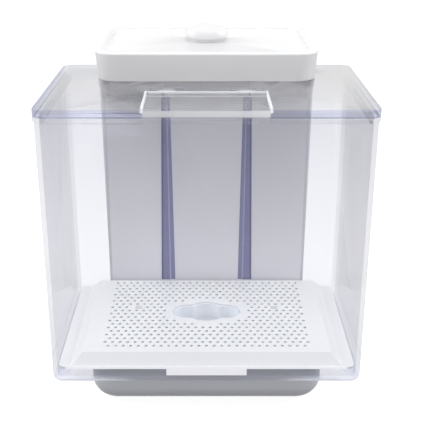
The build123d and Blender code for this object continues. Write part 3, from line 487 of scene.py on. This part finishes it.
CLEAR = {
    "clear_plastic": dict(
        tint=CLEAR_TINT,
        density=3.0,
        edges=TANK_EDGES,
        edge_colour=(0.905, 0.915, 0.95),
        lit=TANK_HIGHLIGHTS,
    ),
    "lid_plastic": dict(tint=CLEAR_TINT, density=3.0, dim=0.3, edges=LID_EDGES),
    "frosted_grip": dict(
        tint=CLEAR_TINT,
        density=6.0,
        haze=0.6,
        haze_colour=(0.93, 0.94, 0.96),
        frost=GRIP_FROST,
        dim=0.3,
        lit=HATCH_HIGHLIGHTS,
        highlight_colour=(0.9, 0.92, 0.96),
        highlight_strength=0.4,
    ),
    "tinted_plastic": dict(
        tint=(0.3, 0.3, 0.72), density=34.0, haze=0.75, haze_colour=divider_colour_and_shading
    ),
    "cup_plastic": dict(
        tint=(0.7, 0.75, 0.95),
        density=20.0,
        polish=0.3,
        haze=0.78,
        haze_colour=(0.86, 0.89, 0.93),
    ),
    "silicone": dict(
        tint=(0.85, 0.88, 0.95),
        density=20.0,
        polish=0.3,
        haze=0.7,
        haze_colour=(0.85, 0.86, 0.88),
    ),
}
METAL = {
    "steel": dict(colour=(0.72, 0.72, 0.73), roughness=0.25),
    "magnet": dict(colour=(0.09, 0.09, 0.1), roughness=0.55),
}
FINISHES = {}
for make, recipes in ((moulded, MOULDED), (clear, CLEAR), (metal, METAL)):
    for name, recipe in recipes.items():
        FINISHES[name] = make(name, **recipe)
OWN_FINISH = {
    "lid": "lid_plastic",
    "feed_hatch": "frosted_grip",
    "filter_cover": "cover_white",
    "knob": "knob_white",
    "back_panel": "lit_white",
    "chamber_floor": "lit_white",
    "tower_shell": "tower_white",
    "base_shell": "base_white",
    "tray": "tray_white",
}
finish_of = {**slot_of, **OWN_FINISH}
for name, cad in nodes.items():
    cad.data.materials.clear()
    cad.data.materials.append(FINISHES[finish_of[name]])
print("finishes", sorted(FINISHES))

# %% [markdown]
# The picture has a white floor that runs into a white background. A large disc is the
# floor. It lights the tank as dark grey card does, so that the underside of the base
# stays dark. Where it is seen, straight or through plastic, it is lifted to white and
# keeps a faint shadow.


# %% Floor and surroundings
FLOOR_RADIUS = 2.5
CARD_COLOUR = 0.06
SEEN_COLOUR = 0.22
SEEN_LIFT = 0.9
GLOSS_SHARE = 0.75
ROOM_LIGHT = 0.45
SEEN_SKY = 1.1


def sight_share(tree):
    """One for a ray that carries sight, straight or through plastic, and less off gloss."""
    rays = tree.nodes.new("ShaderNodeLightPath").outputs
    gloss = arithmetic(tree, "MULTIPLY", rays["Is Glossy Ray"], GLOSS_SHARE)
    return most(tree, [rays["Is Camera Ray"], rays["Is Transmission Ray"], gloss])


floor_mesh = bpy.data.meshes.new("floor")
disc = bmesh.new()
bmesh.ops.create_circle(disc, cap_ends=True, segments=96, radius=FLOOR_RADIUS)
disc.to_mesh(floor_mesh)
disc.free()
floor = bpy.data.objects.new("floor", floor_mesh)
bpy.context.scene.collection.objects.link(floor)
floor_material, tree, output = new_material("floor_card")
card = add_node(tree, "ShaderNodeBsdfPrincipled", roughness=0.9)
card.inputs["Base Color"].default_value = (CARD_COLOUR, CARD_COLOUR, CARD_COLOUR, 1)
paper = add_node(tree, "ShaderNodeBsdfPrincipled", roughness=0.9, emission_strength=SEEN_LIFT)
paper.inputs["Base Color"].default_value = (SEEN_COLOUR, SEEN_COLOUR, SEEN_COLOUR, 1)
paper.inputs["Emission Color"].default_value = (1, 1, 1, 1)
paper.inputs["Specular IOR Level"].default_value = 0.0
either = mixed(tree, sight_share(tree), card.outputs[0], paper.outputs[0])
tree.links.new(either, output.inputs["Surface"])
floor_mesh.materials.append(floor_material)
floor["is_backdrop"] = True

world = bpy.data.worlds.new("studio")
world.use_nodes = True
bpy.context.scene.world = world
tree = world.node_tree
tree.nodes.clear()
sky = add_node(tree, "ShaderNodeBackground")
sky.inputs["Color"].default_value = (1, 1, 1, 1)
brightness = spread(tree, sight_share(tree), ROOM_LIGHT, SEEN_SKY)
tree.links.new(brightness, sky.inputs["Strength"])
world_output = tree.nodes.new("ShaderNodeOutputWorld")
tree.links.new(sky.outputs[0], world_output.inputs["Surface"])
print("floor", FLOOR_RADIUS, "room light", ROOM_LIGHT)

# %% [markdown]
# Four big soft lamps light the tank, as in a product studio: one over it, one on each
# side and one in front. They make the tops brightest, the fronts a soft grey and the
# underside of the base dark. Each has a place, a width in metres and a power in watts.


# %% Lamps
LAMPS = [
    ("top_softbox", (0.0, 0.0, 1.3), 1.2, 6.2),
    ("left_softbox", (-1.1, 0.15, 0.7), 0.8, 8.3),
    ("right_softbox", (1.1, 0.15, 0.7), 0.8, 8.3),
    ("front_softbox", (0.0, -1.4, 0.75), 0.9, 7.6),
]


def soft_lamp(name, place, target, width, power):
    """A square area lamp that looks at a point and isn't itself seen."""
    data = bpy.data.lights.new(name, "AREA")
    data.size = width
    data.energy = power
    lamp = bpy.data.objects.new(name, data)
    lamp.location = place
    aim = Vector(target) - Vector(place)
    lamp.rotation_euler = aim.to_track_quat("-Z", "Y").to_euler()
    lamp.visible_camera = False
    lamp.visible_transmission = False
    bpy.context.scene.collection.objects.link(lamp)


middle = (cad_low + cad_high) / 2
for name, place, width, power in LAMPS:
    soft_lamp(name, place, middle, width, power)
print("lamps", len(bpy.data.lights))

# %% [markdown]
# Moulded edges are never sharp, and a thin bright line along each edge is what makes
# plastic look real. A copy of the frame's mesh has its triangles merged, and a bevel
# rounds every edge that turns by more than a set angle. The copy then stands in.


# %% Rounded copies
EDGE_ANGLE = math.radians(35)
FLAT_ANGLE = math.radians(0.5)
SAME_PLACE = 1e-6


def smooth(piece):
    """Shades every face of a piece smoothly."""
    for polygon in piece.data.polygons:
        polygon.use_smooth = True


def round_edges(piece, width):
    """Rounds every edge of a piece that turns by more than the edge angle."""
    bevel = piece.modifiers.new("edges", "BEVEL")
    bevel.width = width
    bevel.segments = 2
    bevel.limit_method = "ANGLE"
    bevel.angle_limit = EDGE_ANGLE
    bevel.harden_normals = True
    smooth(piece)


def rounded_copy(node, width):
    """Replaces a node of the frame with a merged copy whose edges are rounded."""
    mesh = nodes[node].data.copy()
    mesh.name = node + "_rounded"
    shape = bmesh.new()
    shape.from_mesh(mesh)
    bmesh.ops.remove_doubles(shape, verts=shape.verts, dist=SAME_PLACE)
    parts = {"verts": shape.verts, "edges": shape.edges}
    bmesh.ops.dissolve_limit(shape, angle_limit=FLAT_ANGLE, **parts)
    shape.to_mesh(mesh)
    shape.free()
    piece = bpy.data.objects.new(node + "_rounded", mesh)
    bpy.context.scene.collection.objects.link(piece)
    round_edges(piece, width)
    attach(piece, body_of[node])
    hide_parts(node)


ROUNDED = {
    "base_shell": 0.0004,
    "base_cover": 0.0004,
    "tank_shell": 0.0003,
    "lid": 0.0003,
    "feed_hatch": 0.0002,
    "left_partition": 0.0003,
    "right_partition": 0.0003,
    "tray_legs": 0.0003,
    "waste_cup": 0.0002,
    "filter_cover": 0.0004,
    "filter_tray": 0.0003,
    "tower_shell": 0.0004,
    "back_panel": 0.0003,
    "chamber_floor": 0.0002,
    "pump_body": 0.0004,
    "pump_cover": 0.0003,
    "knob": 0.0003,
}
for name, width in ROUNDED.items():
    rounded_copy(name, width)
print("rounded", sorted(ROUNDED))

# %% [markdown]
# What repeats is laid out by node trees. These helpers start a tree whose sizes are
# named inputs, set them on a modifier by their identifiers, and turn the result into a
# plain mesh that rides on its body. Every size in a tree is in metres.


# %% Tree helpers
def new_tree(name, sockets):
    """An empty geometry tree with the given named inputs, and its group nodes."""
    tree = bpy.data.node_groups.new(name, "GeometryNodeTree")
    tree.interface.new_socket("Geometry", in_out="INPUT", socket_type="NodeSocketGeometry")
    for label, kind in sockets:
        tree.interface.new_socket(label, in_out="INPUT", socket_type="NodeSocket" + kind)
    tree.interface.new_socket("Geometry", in_out="OUTPUT", socket_type="NodeSocketGeometry")
    return tree, tree.nodes.new("NodeGroupInput"), tree.nodes.new("NodeGroupOutput")


def grown(carrier, tree, values, name):
    """Runs a tree on a carrier object, and returns its result as a plain object."""
    modifier = carrier.modifiers.new("grow", "NODES")
    modifier.node_group = tree
    for item in tree.interface.items_tree:
        if item.in_out == "INPUT" and item.name in values:
            modifier[item.identifier] = values[item.name]
    graph = bpy.context.evaluated_depsgraph_get()
    mesh = bpy.data.meshes.new_from_object(carrier.evaluated_get(graph), depsgraph=graph)
    mesh.name = name
    carrier.modifiers.remove(modifier)
    bpy.data.objects.remove(carrier)
    piece = bpy.data.objects.new(name, mesh)
    bpy.context.scene.collection.objects.link(piece)
    return piece


def dress(piece, node):
    """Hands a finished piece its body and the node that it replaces."""
    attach(piece, body_of[node])
    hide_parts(node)
    print(piece.name, "faces", len(piece.data.polygons))


def new_object(name, shape):
    """An object that holds a finished bmesh."""
    mesh = bpy.data.meshes.new(name)
    shape.to_mesh(mesh)
    shape.free()
    made = bpy.data.objects.new(name, mesh)
    bpy.context.scene.collection.objects.link(made)
    return made


# %% [markdown]
# The tray's holes follow a rule: twenty rows, of 27 and 28 holes by turns, all on a
# pitch of 5 mm, with a plain margin round the waste opening and round the two leg
# heads. The tree lays out two grids of points, one for each kind of row, drops those
# inside the margins, puts a cylinder on each of the rest and cuts them all from the
# plain tray.

# %% Hole pattern tree
PITCH = 0.005
HOLE_RADIUS = 0.0013
HOLE_SIDES = 16
ROWS = 20
COLUMNS = 27
FIRST_ROW = 0.0201
CLOUD_PLACE = 0.069
CLOUD_CENTRE = 0.0146
CLOUD_SIDE = 0.0104
CLOUD_SPREAD = 0.0136
CLOUD_MARGIN = 0.0059
LEG_PLACE = (0.0485, 0.0745)
LEG_MARGIN = 0.0042
cloud_y = lid_low.y + CLOUD_PLACE
leg_y = lid_low.y + LEG_PLACE[1]
PLAIN_SPOTS = [
    (0.0, cloud_y, CLOUD_CENTRE + CLOUD_MARGIN),
    (-CLOUD_SPREAD, cloud_y, CLOUD_SIDE + CLOUD_MARGIN),
    (CLOUD_SPREAD, cloud_y, CLOUD_SIDE + CLOUD_MARGIN),
    (-LEG_PLACE[0], leg_y, LEG_MARGIN),
    (LEG_PLACE[0], leg_y, LEG_MARGIN),
]


def grid_of_rows(tree, group, columns, first_row, height):
    """Half of the rows: a grid with the given columns, every second row."""
    rows = ROWS // 2
    grid = add_node(tree, "GeometryNodeMeshGrid", vertices_x=columns, vertices_y=rows)
    for socket, steps in (("Size X", columns - 1), ("Size Y", 2 * (rows - 1))):
        size = arithmetic(tree, "MULTIPLY", group.outputs["Pitch"], steps)
        tree.links.new(size, grid.inputs[socket])
    middle_row = first_row + (rows - 1) * PITCH
    move = add_node(tree, "GeometryNodeTransform", translation=(0, middle_row, height))
    tree.links.new(grid.outputs["Mesh"], move.inputs["Geometry"])
    return move.outputs["Geometry"]


def inside_spots(tree, spots, height):
    """True for a point that lies in one of the plain spots."""
    place = tree.nodes.new("GeometryNodeInputPosition")
    found = None
    for x, y, reach in spots:
        gap = add_node(tree, "ShaderNodeVectorMath", operation="DISTANCE")
        gap.inputs[1].default_value = (x, y, height)
        tree.links.new(place.outputs[0], gap.inputs[0])
        inside = add_node(tree, "FunctionNodeCompare", operation="LESS_EQUAL")
        inside.inputs["B"].default_value = reach
        tree.links.new(gap.outputs["Value"], inside.inputs["A"])
        if found is None:
            found = inside.outputs[0]
            continue
        either = add_node(tree, "FunctionNodeBooleanMath", operation="OR")
        tree.links.new(found, either.inputs[0])
        tree.links.new(inside.outputs[0], either.inputs[1])
        found = either.outputs[0]
    return found


def hole_tree(height):
    """Cuts the hole pattern from the geometry that comes in."""
    sizes = [("Pitch", "Float"), ("Hole Radius", "Float"), ("Depth", "Float")]
    tree, group, result = new_tree("hole_pattern", [*sizes, ("Material", "Material")])
    rows = tree.nodes.new("GeometryNodeJoinGeometry")
    first = lid_low.y + FIRST_ROW
    for columns, start in ((COLUMNS, first), (COLUMNS + 1, first + PITCH)):
        tree.links.new(grid_of_rows(tree, group, columns, start, height), rows.inputs[0])
    kept = add_node(tree, "GeometryNodeDeleteGeometry", domain="POINT")
    tree.links.new(rows.outputs[0], kept.inputs["Geometry"])
    tree.links.new(inside_spots(tree, PLAIN_SPOTS, height), kept.inputs["Selection"])
    drill = add_node(tree, "GeometryNodeMeshCylinder", vertices=HOLE_SIDES)
    tree.links.new(group.outputs["Hole Radius"], drill.inputs["Radius"])
    tree.links.new(group.outputs["Depth"], drill.inputs["Depth"])
    put = tree.nodes.new("GeometryNodeInstanceOnPoints")
    tree.links.new(kept.outputs[0], put.inputs["Points"])
    tree.links.new(drill.outputs["Mesh"], put.inputs["Instance"])
    real = tree.nodes.new("GeometryNodeRealizeInstances")
    tree.links.new(put.outputs[0], real.inputs[0])
    cut = add_node(tree, "GeometryNodeMeshBoolean", operation="DIFFERENCE", solver="FLOAT")
    tree.links.new(group.outputs["Geometry"], cut.inputs[0])
    tree.links.new(real.outputs[0], cut.inputs[1])
    paint = tree.nodes.new("GeometryNodeSetMaterial")
    tree.links.new(cut.outputs[0], paint.inputs["Geometry"])
    tree.links.new(group.outputs["Material"], paint.inputs["Material"])
    tree.links.new(paint.outputs[0], result.inputs[0])
    return tree


print("plain spots", len(PLAIN_SPOTS))

# %% [markdown]
# The plain tray is a stack of rounded rectangles joined into a closed skin: the flat
# rim, the sloping block with its top, and the hollow under it. The pull tab, the waste
# opening and the leg sockets are then joined on or cut out.

# %% Plain tray
RIM_THICKNESS = 0.0016
RIM_CORNER = 0.0045
SKIN = 0.0022
LEDGE = 0.0061
SIDE_SLOPE = 0.0084
FRONT_SLOPE = 0.0076
REAR_SLOPE = 0.0049
BLOCK_CORNER = 0.0012
HOLLOW_CORNER = 0.0006
BLOCK_INSET = 0.00002
TAB_DROP = 0.0046
tray_low, tray_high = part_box("tray")
tray_foot = tray_low.z + TAB_DROP
tray_top = tray_high.z
CORNER_STEPS = 6


def ring(shape, half_width, front, back, corner, height):
    """Vertices round a rounded rectangle, anticlockwise from the front right corner."""
    centres = [
        (half_width - corner, front + corner, -90),
        (half_width - corner, back - corner, 0),
        (corner - half_width, back - corner, 90),
        (corner - half_width, front + corner, 180),
    ]
    points = []
    for x, y, start in centres:
        for step in range(CORNER_STEPS + 1):
            angle = math.radians(start + 90 * step / CORNER_STEPS)
            place = (x + corner * math.cos(angle), y + corner * math.sin(angle), height)
            points.append(shape.verts.new(place))
    return points


def skin(shape, lower, upper):
    """A band of faces between two rings."""
    for number, corner in enumerate(lower):
        after = (number + 1) % len(lower)
        shape.faces.new((corner, lower[after], upper[after], upper[number]))


def sloped(share, inset):
    """Half width, front and back of the sloping block at a share of its height."""
    half_width = tray_high.x - LEDGE - SIDE_SLOPE * share - inset
    front = tray_low.y + FRONT_SLOPE * share + inset
    back = tray_high.y - REAR_SLOPE * share - inset
    return half_width, front, back


def tray_block():
    """The closed skin of the rim, the block and its hollow."""
    shape = bmesh.new()
    rise = RIM_THICKNESS / (tray_top - tray_foot)
    wide = (tray_high.x, tray_low.y, tray_high.y)
    rings = [
        ring(shape, *wide, RIM_CORNER, tray_foot),
        ring(shape, *wide, RIM_CORNER, tray_foot + RIM_THICKNESS),
        ring(shape, *sloped(rise, BLOCK_INSET), BLOCK_CORNER, tray_foot + RIM_THICKNESS),
        ring(shape, *sloped(1, 0), BLOCK_CORNER, tray_top),
    ]
    hollow = [
        ring(shape, *sloped(0, SKIN), HOLLOW_CORNER, tray_foot),
        ring(shape, *sloped(1, SKIN), HOLLOW_CORNER, tray_top - SKIN),
    ]
    for lower, upper in zip(rings, rings[1:]):
        skin(shape, lower, upper)
    shape.faces.new(rings[-1])
    skin(shape, hollow[0], rings[0])
    skin(shape, hollow[1], hollow[0])
    shape.faces.new(list(reversed(hollow[1])))
    bmesh.ops.recalc_face_normals(shape, faces=shape.faces)
    return new_object("tray_block", shape)


def block(name, low, high):
    """A closed box between two corners, as a tool to cut or join with."""
    shape = bmesh.new()
    bmesh.ops.create_cube(shape, size=1.0)
    centre = (Vector(low) + Vector(high)) / 2
    size = Vector(high) - Vector(low)
    for vertex in shape.verts:
        vertex.co = centre + Vector(a * b for a, b in zip(vertex.co, size))
    return new_object(name, shape)


CLOUD_STEPS = 120
EASING_ROUNDS = 3
TOOL_SPARE = 0.01


def cloud_reach(angle):
    """Distance from the cloud's middle to its outline, in one direction."""
    best = CLOUD_CENTRE
    for side in (-1, 1):
        along = side * CLOUD_SPREAD * math.cos(angle)
        across = CLOUD_SPREAD * math.sin(angle)
        if abs(across) < CLOUD_SIDE:
            best = max(best, along + math.sqrt(CLOUD_SIDE**2 - across**2))
    return best


def cloud_outline():
    """The outline's points, with its inner corners eased a little."""
    angles = [2 * math.pi * n / CLOUD_STEPS for n in range(CLOUD_STEPS)]
    reach = [cloud_reach(angle) for angle in angles]
    for _ in range(EASING_ROUNDS):
        reach = [
            0.5 * r + 0.25 * (reach[n - 1] + reach[(n + 1) % CLOUD_STEPS])
            for n, r in enumerate(reach)
        ]
    return [(r * math.cos(angle), r * math.sin(angle)) for r, angle in zip(reach, angles)]


def cloud_prism():
    """A closed prism of the cloud outline, to cut the waste opening with."""
    shape = bmesh.new()
    levels = [
        [shape.verts.new((x, cloud_y + y, height)) for x, y in cloud_outline()]
        for height in (tray_top - TOOL_SPARE, tray_top + TOOL_SPARE)
    ]
    skin(shape, *levels)
    shape.faces.new(levels[1])
    shape.faces.new(list(reversed(levels[0])))
    bmesh.ops.recalc_face_normals(shape, faces=shape.faces)
    return new_object("cloud_prism", shape)


def combine(target, tool, operation):
    """Joins a tool to the target, or cuts it out, and removes the tool."""
    step = target.modifiers.new("combine", "BOOLEAN")
    step.operation = operation
    step.object = tool
    step.solver = "EXACT"
    graph = bpy.context.evaluated_depsgraph_get()
    mesh = bpy.data.meshes.new_from_object(target.evaluated_get(graph), depsgraph=graph)
    target.modifiers.remove(step)
    target.data = mesh
    bpy.data.objects.remove(tool)


TAB_HALF = 0.026
TAB_DEPTH = 0.002
SHY = 0.0001
LEG_STEM = 0.0015
LEG_HEAD = 0.0024
HEAD_DEPTH = 0.0012
plain_tray = tray_block()
tab = block(
    "tab",
    (-TAB_HALF, tray_low.y, tray_low.z),
    (TAB_HALF, tray_low.y + TAB_DEPTH, tray_foot + RIM_THICKNESS - SHY),
)
combine(plain_tray, tab, "UNION")
combine(plain_tray, cloud_prism(), "DIFFERENCE")
for side in (-1, 1):
    leg_x = side * LEG_PLACE[0]
    for half, low, high in (
        (LEG_STEM, tray_foot, 1),
        (LEG_HEAD, tray_top - HEAD_DEPTH, tray_top + TOOL_SPARE),
    ):
        near = (leg_x - half, leg_y - half, low)
        far = (leg_x + half, leg_y + half, high)
        combine(plain_tray, block("socket", near, far), "DIFFERENCE")
print("plain tray faces", len(plain_tray.data.polygons))

# %% [markdown]
# The tree cuts the holes, and a fine bevel rounds the edge of each, so that every hole
# has the soft lip that a moulded one has. The pull tab stands free of the tray's shadow,
# and its faces take a finish that glows a little as painted light, by place.

# %% Perforated tray
LIP_WIDTH = 0.0002
hole_height = tray_top - SKIN / 2
values = {
    "Pitch": PITCH,
    "Hole Radius": HOLE_RADIUS,
    "Depth": 4 * SKIN,
    "Material": FINISHES["tray_white"],
}
tray = grown(plain_tray, hole_tree(hole_height), values, "perforated_tray")
round_edges(tray, LIP_WIDTH)
tray.data.materials.append(FINISHES["tab_white"])
tab_slot = len(tray.data.materials) - 1
tab_faces = 0
for polygon in tray.data.polygons:
    x, y, z = polygon.center
    beside_tab = abs(x) < TAB_HALF + SHY and y < tray_low.y + TAB_DEPTH + SHY
    if beside_tab and z < tray_foot + RIM_THICKNESS:
        polygon.material_index = tab_slot
        tab_faces += 1
print("tab faces", tab_faces, "in slot", tab_slot)
dress(tray, "tray")

# %% [markdown]
# Screws and feet repeat on rectangles. One tree puts copies of a piece on the points
# of a grid, each turned by its own seeded amount, as screws stop where they stop.


# %% Grid tree
def repeat_tree():
    """Copies of an object on the points of a grid."""
    sockets = [("Piece", "Object"), ("Size X", "Float"), ("Size Y", "Float")]
    sockets += [("Count X", "Int"), ("Count Y", "Int"), ("Centre", "Vector")]
    sockets += [("Turn", "Float"), ("Seed", "Int"), ("Material", "Material")]
    tree, group, result = new_tree("repeat_on_grid", sockets)
    grid = tree.nodes.new("GeometryNodeMeshGrid")
    for label, socket in (
        ("Size X", "Size X"),
        ("Size Y", "Size Y"),
        ("Count X", "Vertices X"),
        ("Count Y", "Vertices Y"),
    ):
        tree.links.new(group.outputs[label], grid.inputs[socket])
    move = tree.nodes.new("GeometryNodeTransform")
    tree.links.new(grid.outputs["Mesh"], move.inputs["Geometry"])
    tree.links.new(group.outputs["Centre"], move.inputs["Translation"])
    piece = tree.nodes.new("GeometryNodeObjectInfo")
    tree.links.new(group.outputs["Piece"], piece.inputs["Object"])
    chance = tree.nodes.new("FunctionNodeRandomValue")
    tree.links.new(group.outputs["Turn"], chance.inputs[3])
    tree.links.new(group.outputs["Seed"], chance.inputs["Seed"])
    turn = tree.nodes.new("ShaderNodeCombineXYZ")
    tree.links.new(chance.outputs[1], turn.inputs["Z"])
    put = tree.nodes.new("GeometryNodeInstanceOnPoints")
    tree.links.new(move.outputs[0], put.inputs["Points"])
    tree.links.new(piece.outputs["Geometry"], put.inputs["Instance"])
    tree.links.new(turn.outputs[0], put.inputs["Rotation"])
    real = tree.nodes.new("GeometryNodeRealizeInstances")
    tree.links.new(put.outputs[0], real.inputs[0])
    paint = tree.nodes.new("GeometryNodeSetMaterial")
    tree.links.new(real.outputs[0], paint.inputs["Geometry"])
    tree.links.new(group.outputs["Material"], paint.inputs["Material"])
    tree.links.new(paint.outputs[0], result.inputs[0])
    return tree


REPEAT = repeat_tree()


def on_grid(node, piece, spread_x, spread_y, turn, seed):
    """Puts copies of a piece where the node's own copies are, and dresses them."""
    low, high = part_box(node)
    centre = Vector(((low.x + high.x) / 2, (low.y + high.y) / 2, low.z))
    carrier = new_object(node + "_carrier", bmesh.new())
    values = {
        "Piece": piece,
        "Size X": spread_x,
        "Size Y": spread_y,
        "Count X": 2 if spread_x else 1,
        "Count Y": 2 if spread_y else 1,
        "Centre": centre,
        "Turn": turn,
        "Seed": seed,
        "Material": FINISHES[slot_of[node]],
    }
    copies = grown(carrier, REPEAT, values, node + "_detailed")
    bpy.data.objects.remove(piece)
    smooth(copies)
    copies.data.set_sharp_from_angle(angle=EDGE_ANGLE)
    dress(copies, node)


# %% [markdown]
# A screw is a turned profile: a domed pan head, then a shank with ridges for its
# thread, and a cross cut into the head. A foot is a turned rubber button with a groove
# round its tread and soft edges. The shares are of the head's or the shank's radius, of
# the head's height or of the thread's pitch, and the rest are metres.


# %% Screws and feet
SCREW_SIDES = 40
FOOT_SIDES = 64
DOME_STEPS = 6
DOME_SHARE = 0.75
DOME_POWER = 0.7
ROOT_SHARE = 0.8
PITCH_SHARE = 0.7
TIP_SHARE = 0.4
CROSS_REACH = 0.55
CROSS_HALF = 0.13
CROSS_DEPTH = 0.6
SMALL_EDGE = 0.0002
FOOT_EDGE = 0.0006
FOOT_EDGE_STEPS = 5
GROOVE_DEPTH = 0.0004


def turned(name, profile, steps=SCREW_SIDES):
    """A solid turned round the Z axis from points of radius and height."""
    shape = bmesh.new()
    rings = []
    for radius, height in profile:
        count = steps if radius else 1
        angles = [2 * math.pi * n / steps for n in range(count)]
        around = [(radius * math.cos(a), radius * math.sin(a), height) for a in angles]
        rings.append([shape.verts.new(place) for place in around])
    for lower, upper in zip(rings, rings[1:]):
        for n in range(steps):
            after = (n + 1) % steps
            corners = [lower[n % len(lower)], lower[after % len(lower)]]
            corners += [upper[after % len(upper)], upper[n % len(upper)]]
            shape.faces.new(list(dict.fromkeys(corners)))
    bmesh.ops.recalc_face_normals(shape, faces=shape.faces)
    return new_object(name, shape)


def pan_screw(head_radius, head_height, shank_radius, length):
    """A cross-slot pan-head screw that stands on its head, with its tip upwards."""
    profile = [(0, 0)]
    for step in range(1, DOME_STEPS + 1):
        angle = math.radians(90 * step / DOME_STEPS)
        rise = head_height * DOME_SHARE * (1 - math.cos(angle))
        profile.append((head_radius * math.sin(angle) ** DOME_POWER, rise))
    root_radius = shank_radius * ROOT_SHARE
    profile.append((head_radius, head_height))
    profile.append((root_radius, head_height))
    pitch = shank_radius * PITCH_SHARE
    for ridge in range(int((length - shank_radius) / pitch)):
        start = head_height + ridge * pitch
        for radius, share in ((root_radius, 0.35), (shank_radius, 0.6), (root_radius, 0.85)):
            profile.append((radius, start + pitch * share))
    profile.append((shank_radius * TIP_SHARE, head_height + length - SMALL_EDGE))
    profile.append((0, head_height + length))
    screw = turned("screw", profile)
    reach = head_radius * CROSS_REACH
    half = head_radius * CROSS_HALF
    depth = head_height * CROSS_DEPTH
    for x, y in ((reach, half), (half, reach)):
        combine(screw, block("slot", (-x, -y, -1), (x, y, depth)), "DIFFERENCE")
    return screw


def rubber_foot(radius, height):
    """A round foot with a soft edge and a groove in its tread, tread downwards."""
    profile = [(0, 0), (radius * 0.55, 0)]
    profile += [(radius * 0.58, GROOVE_DEPTH), (radius * 0.66, GROOVE_DEPTH)]
    profile.append((radius * 0.69, 0))
    for step in range(FOOT_EDGE_STEPS + 1):
        angle = math.radians(90 * step / FOOT_EDGE_STEPS)
        out = radius - FOOT_EDGE + FOOT_EDGE * math.sin(angle)
        profile.append((out, FOOT_EDGE - FOOT_EDGE * math.cos(angle)))
    profile += [(radius, height - SMALL_EDGE), (radius - SMALL_EDGE, height), (0, height)]
    return turned("foot", profile, FOOT_SIDES)


HALF_TURN = math.pi
CASE_SCREW = (0.0027, 0.0016, 0.0014, 0.008)
KNOB_SCREW = (0.0032, 0.0018, 0.0015, 0.0082)
FOOT_SIZE = (0.008, 0.0027)
COVER_SPREAD = (0.104, 0.112)
TOWER_SPREAD = (0.124, 0.042)
FEET_SPREAD = (0.084, 0.104)
on_grid("base_cover_screws", pan_screw(*CASE_SCREW), *COVER_SPREAD, HALF_TURN, 3)
on_grid("tower_screws", pan_screw(*CASE_SCREW), *TOWER_SPREAD, HALF_TURN, 5)
on_grid("knob_screw", pan_screw(*KNOB_SCREW), 0, 0, HALF_TURN, 7)
on_grid("base_feet", rubber_foot(*FOOT_SIZE), *FEET_SPREAD, 0.0, 1)

# %% [markdown]
# Two pieces are soft: the filter sponge, and the foam pad between the base and the
# tank. Each starts as a finely divided block whose edges are rounded. The sponge is a
# little crowned on top and pulled in along its sides, as cut foam is, with an uneven
# open skin. The pad is pressed flat by the tank and keeps a soft edge. The cells say
# how finely each side is divided, and they crowd towards the edges.


# %% Soft pieces
GRIT_SCALE = 420.0
SIDE_POWER = 6
PLANES = ((0, 1, 2), (0, 2, 1), (1, 2, 0))
CORNERS = ((0, 0), (1, 0), (1, 1), (0, 1))


def soft_place(shares, half, edge, crown, pull, rough):
    """Where a point of the block goes. Each share runs from -1 to 1 across the block."""
    u, v, w = shares
    flat = Vector((u * half.x, v * half.y, w * half.z))
    core = Vector(max(edge - h, min(h - edge, c)) for c, h in zip(flat, half))
    out = flat - core
    place = core + out.normalized() * edge if out.length > 1e-9 else flat
    place.x -= math.copysign(pull * (1 - v * v), place.x) * abs(u) ** SIDE_POWER
    place.y -= math.copysign(pull * (1 - u * u), place.y) * abs(v) ** SIDE_POWER
    if w > 0:
        place.z -= (1 - (1 - u * u) * (1 - v * v)) * crown
    if rough:
        grit = noise.noise(place * GRIT_SCALE) * rough - rough
        place -= place.normalized() * abs(grit)
    return place


def soft_block(node, cells, edge, crown=0.0, pull=0.0, rough=0.0):
    """A foam block in place of a node, with soft edges and an uneven skin."""
    low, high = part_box(node)
    centre = (low + high) / 2
    half = (high - low) / 2
    shape = bmesh.new()
    made = {}

    def vertex(steps):
        if steps not in made:
            shares = [math.sin(math.pi * (n / count - 0.5)) for n, count in zip(steps, cells)]
            place = soft_place(shares, half, edge, crown, pull, rough)
            made[steps] = shape.verts.new(centre + place)
        return made[steps]

    for first, second, fixed in PLANES:
        for a in range(cells[first]):
            for b in range(cells[second]):
                for level in (0, cells[fixed]):
                    corners = []
                    for step_a, step_b in CORNERS:
                        steps = {first: a + step_a, second: b + step_b, fixed: level}
                        corners.append(vertex(tuple(steps[axis] for axis in range(3))))
                    shape.faces.new(corners)
    bmesh.ops.recalc_face_normals(shape, faces=shape.faces)
    piece = new_object(node + "_soft", shape)
    piece.data.materials.append(FINISHES[slot_of[node]])
    smooth(piece)
    return piece


sponge = soft_block("filter_sponge", (110, 50, 8), 0.0012, 0.0006, 0.0006, 0.0001)
dress(sponge, "filter_sponge")
pad = soft_block("tank_pad", (80, 70, 6), 0.0004)
dress(pad, "tank_pad")

# %% [markdown]
# The last cell notes the size of the whole part after it was dressed.

# %% Sizes and finish
low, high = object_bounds()
print("visual box", [round(v, 4) for v in (*low, *high)])
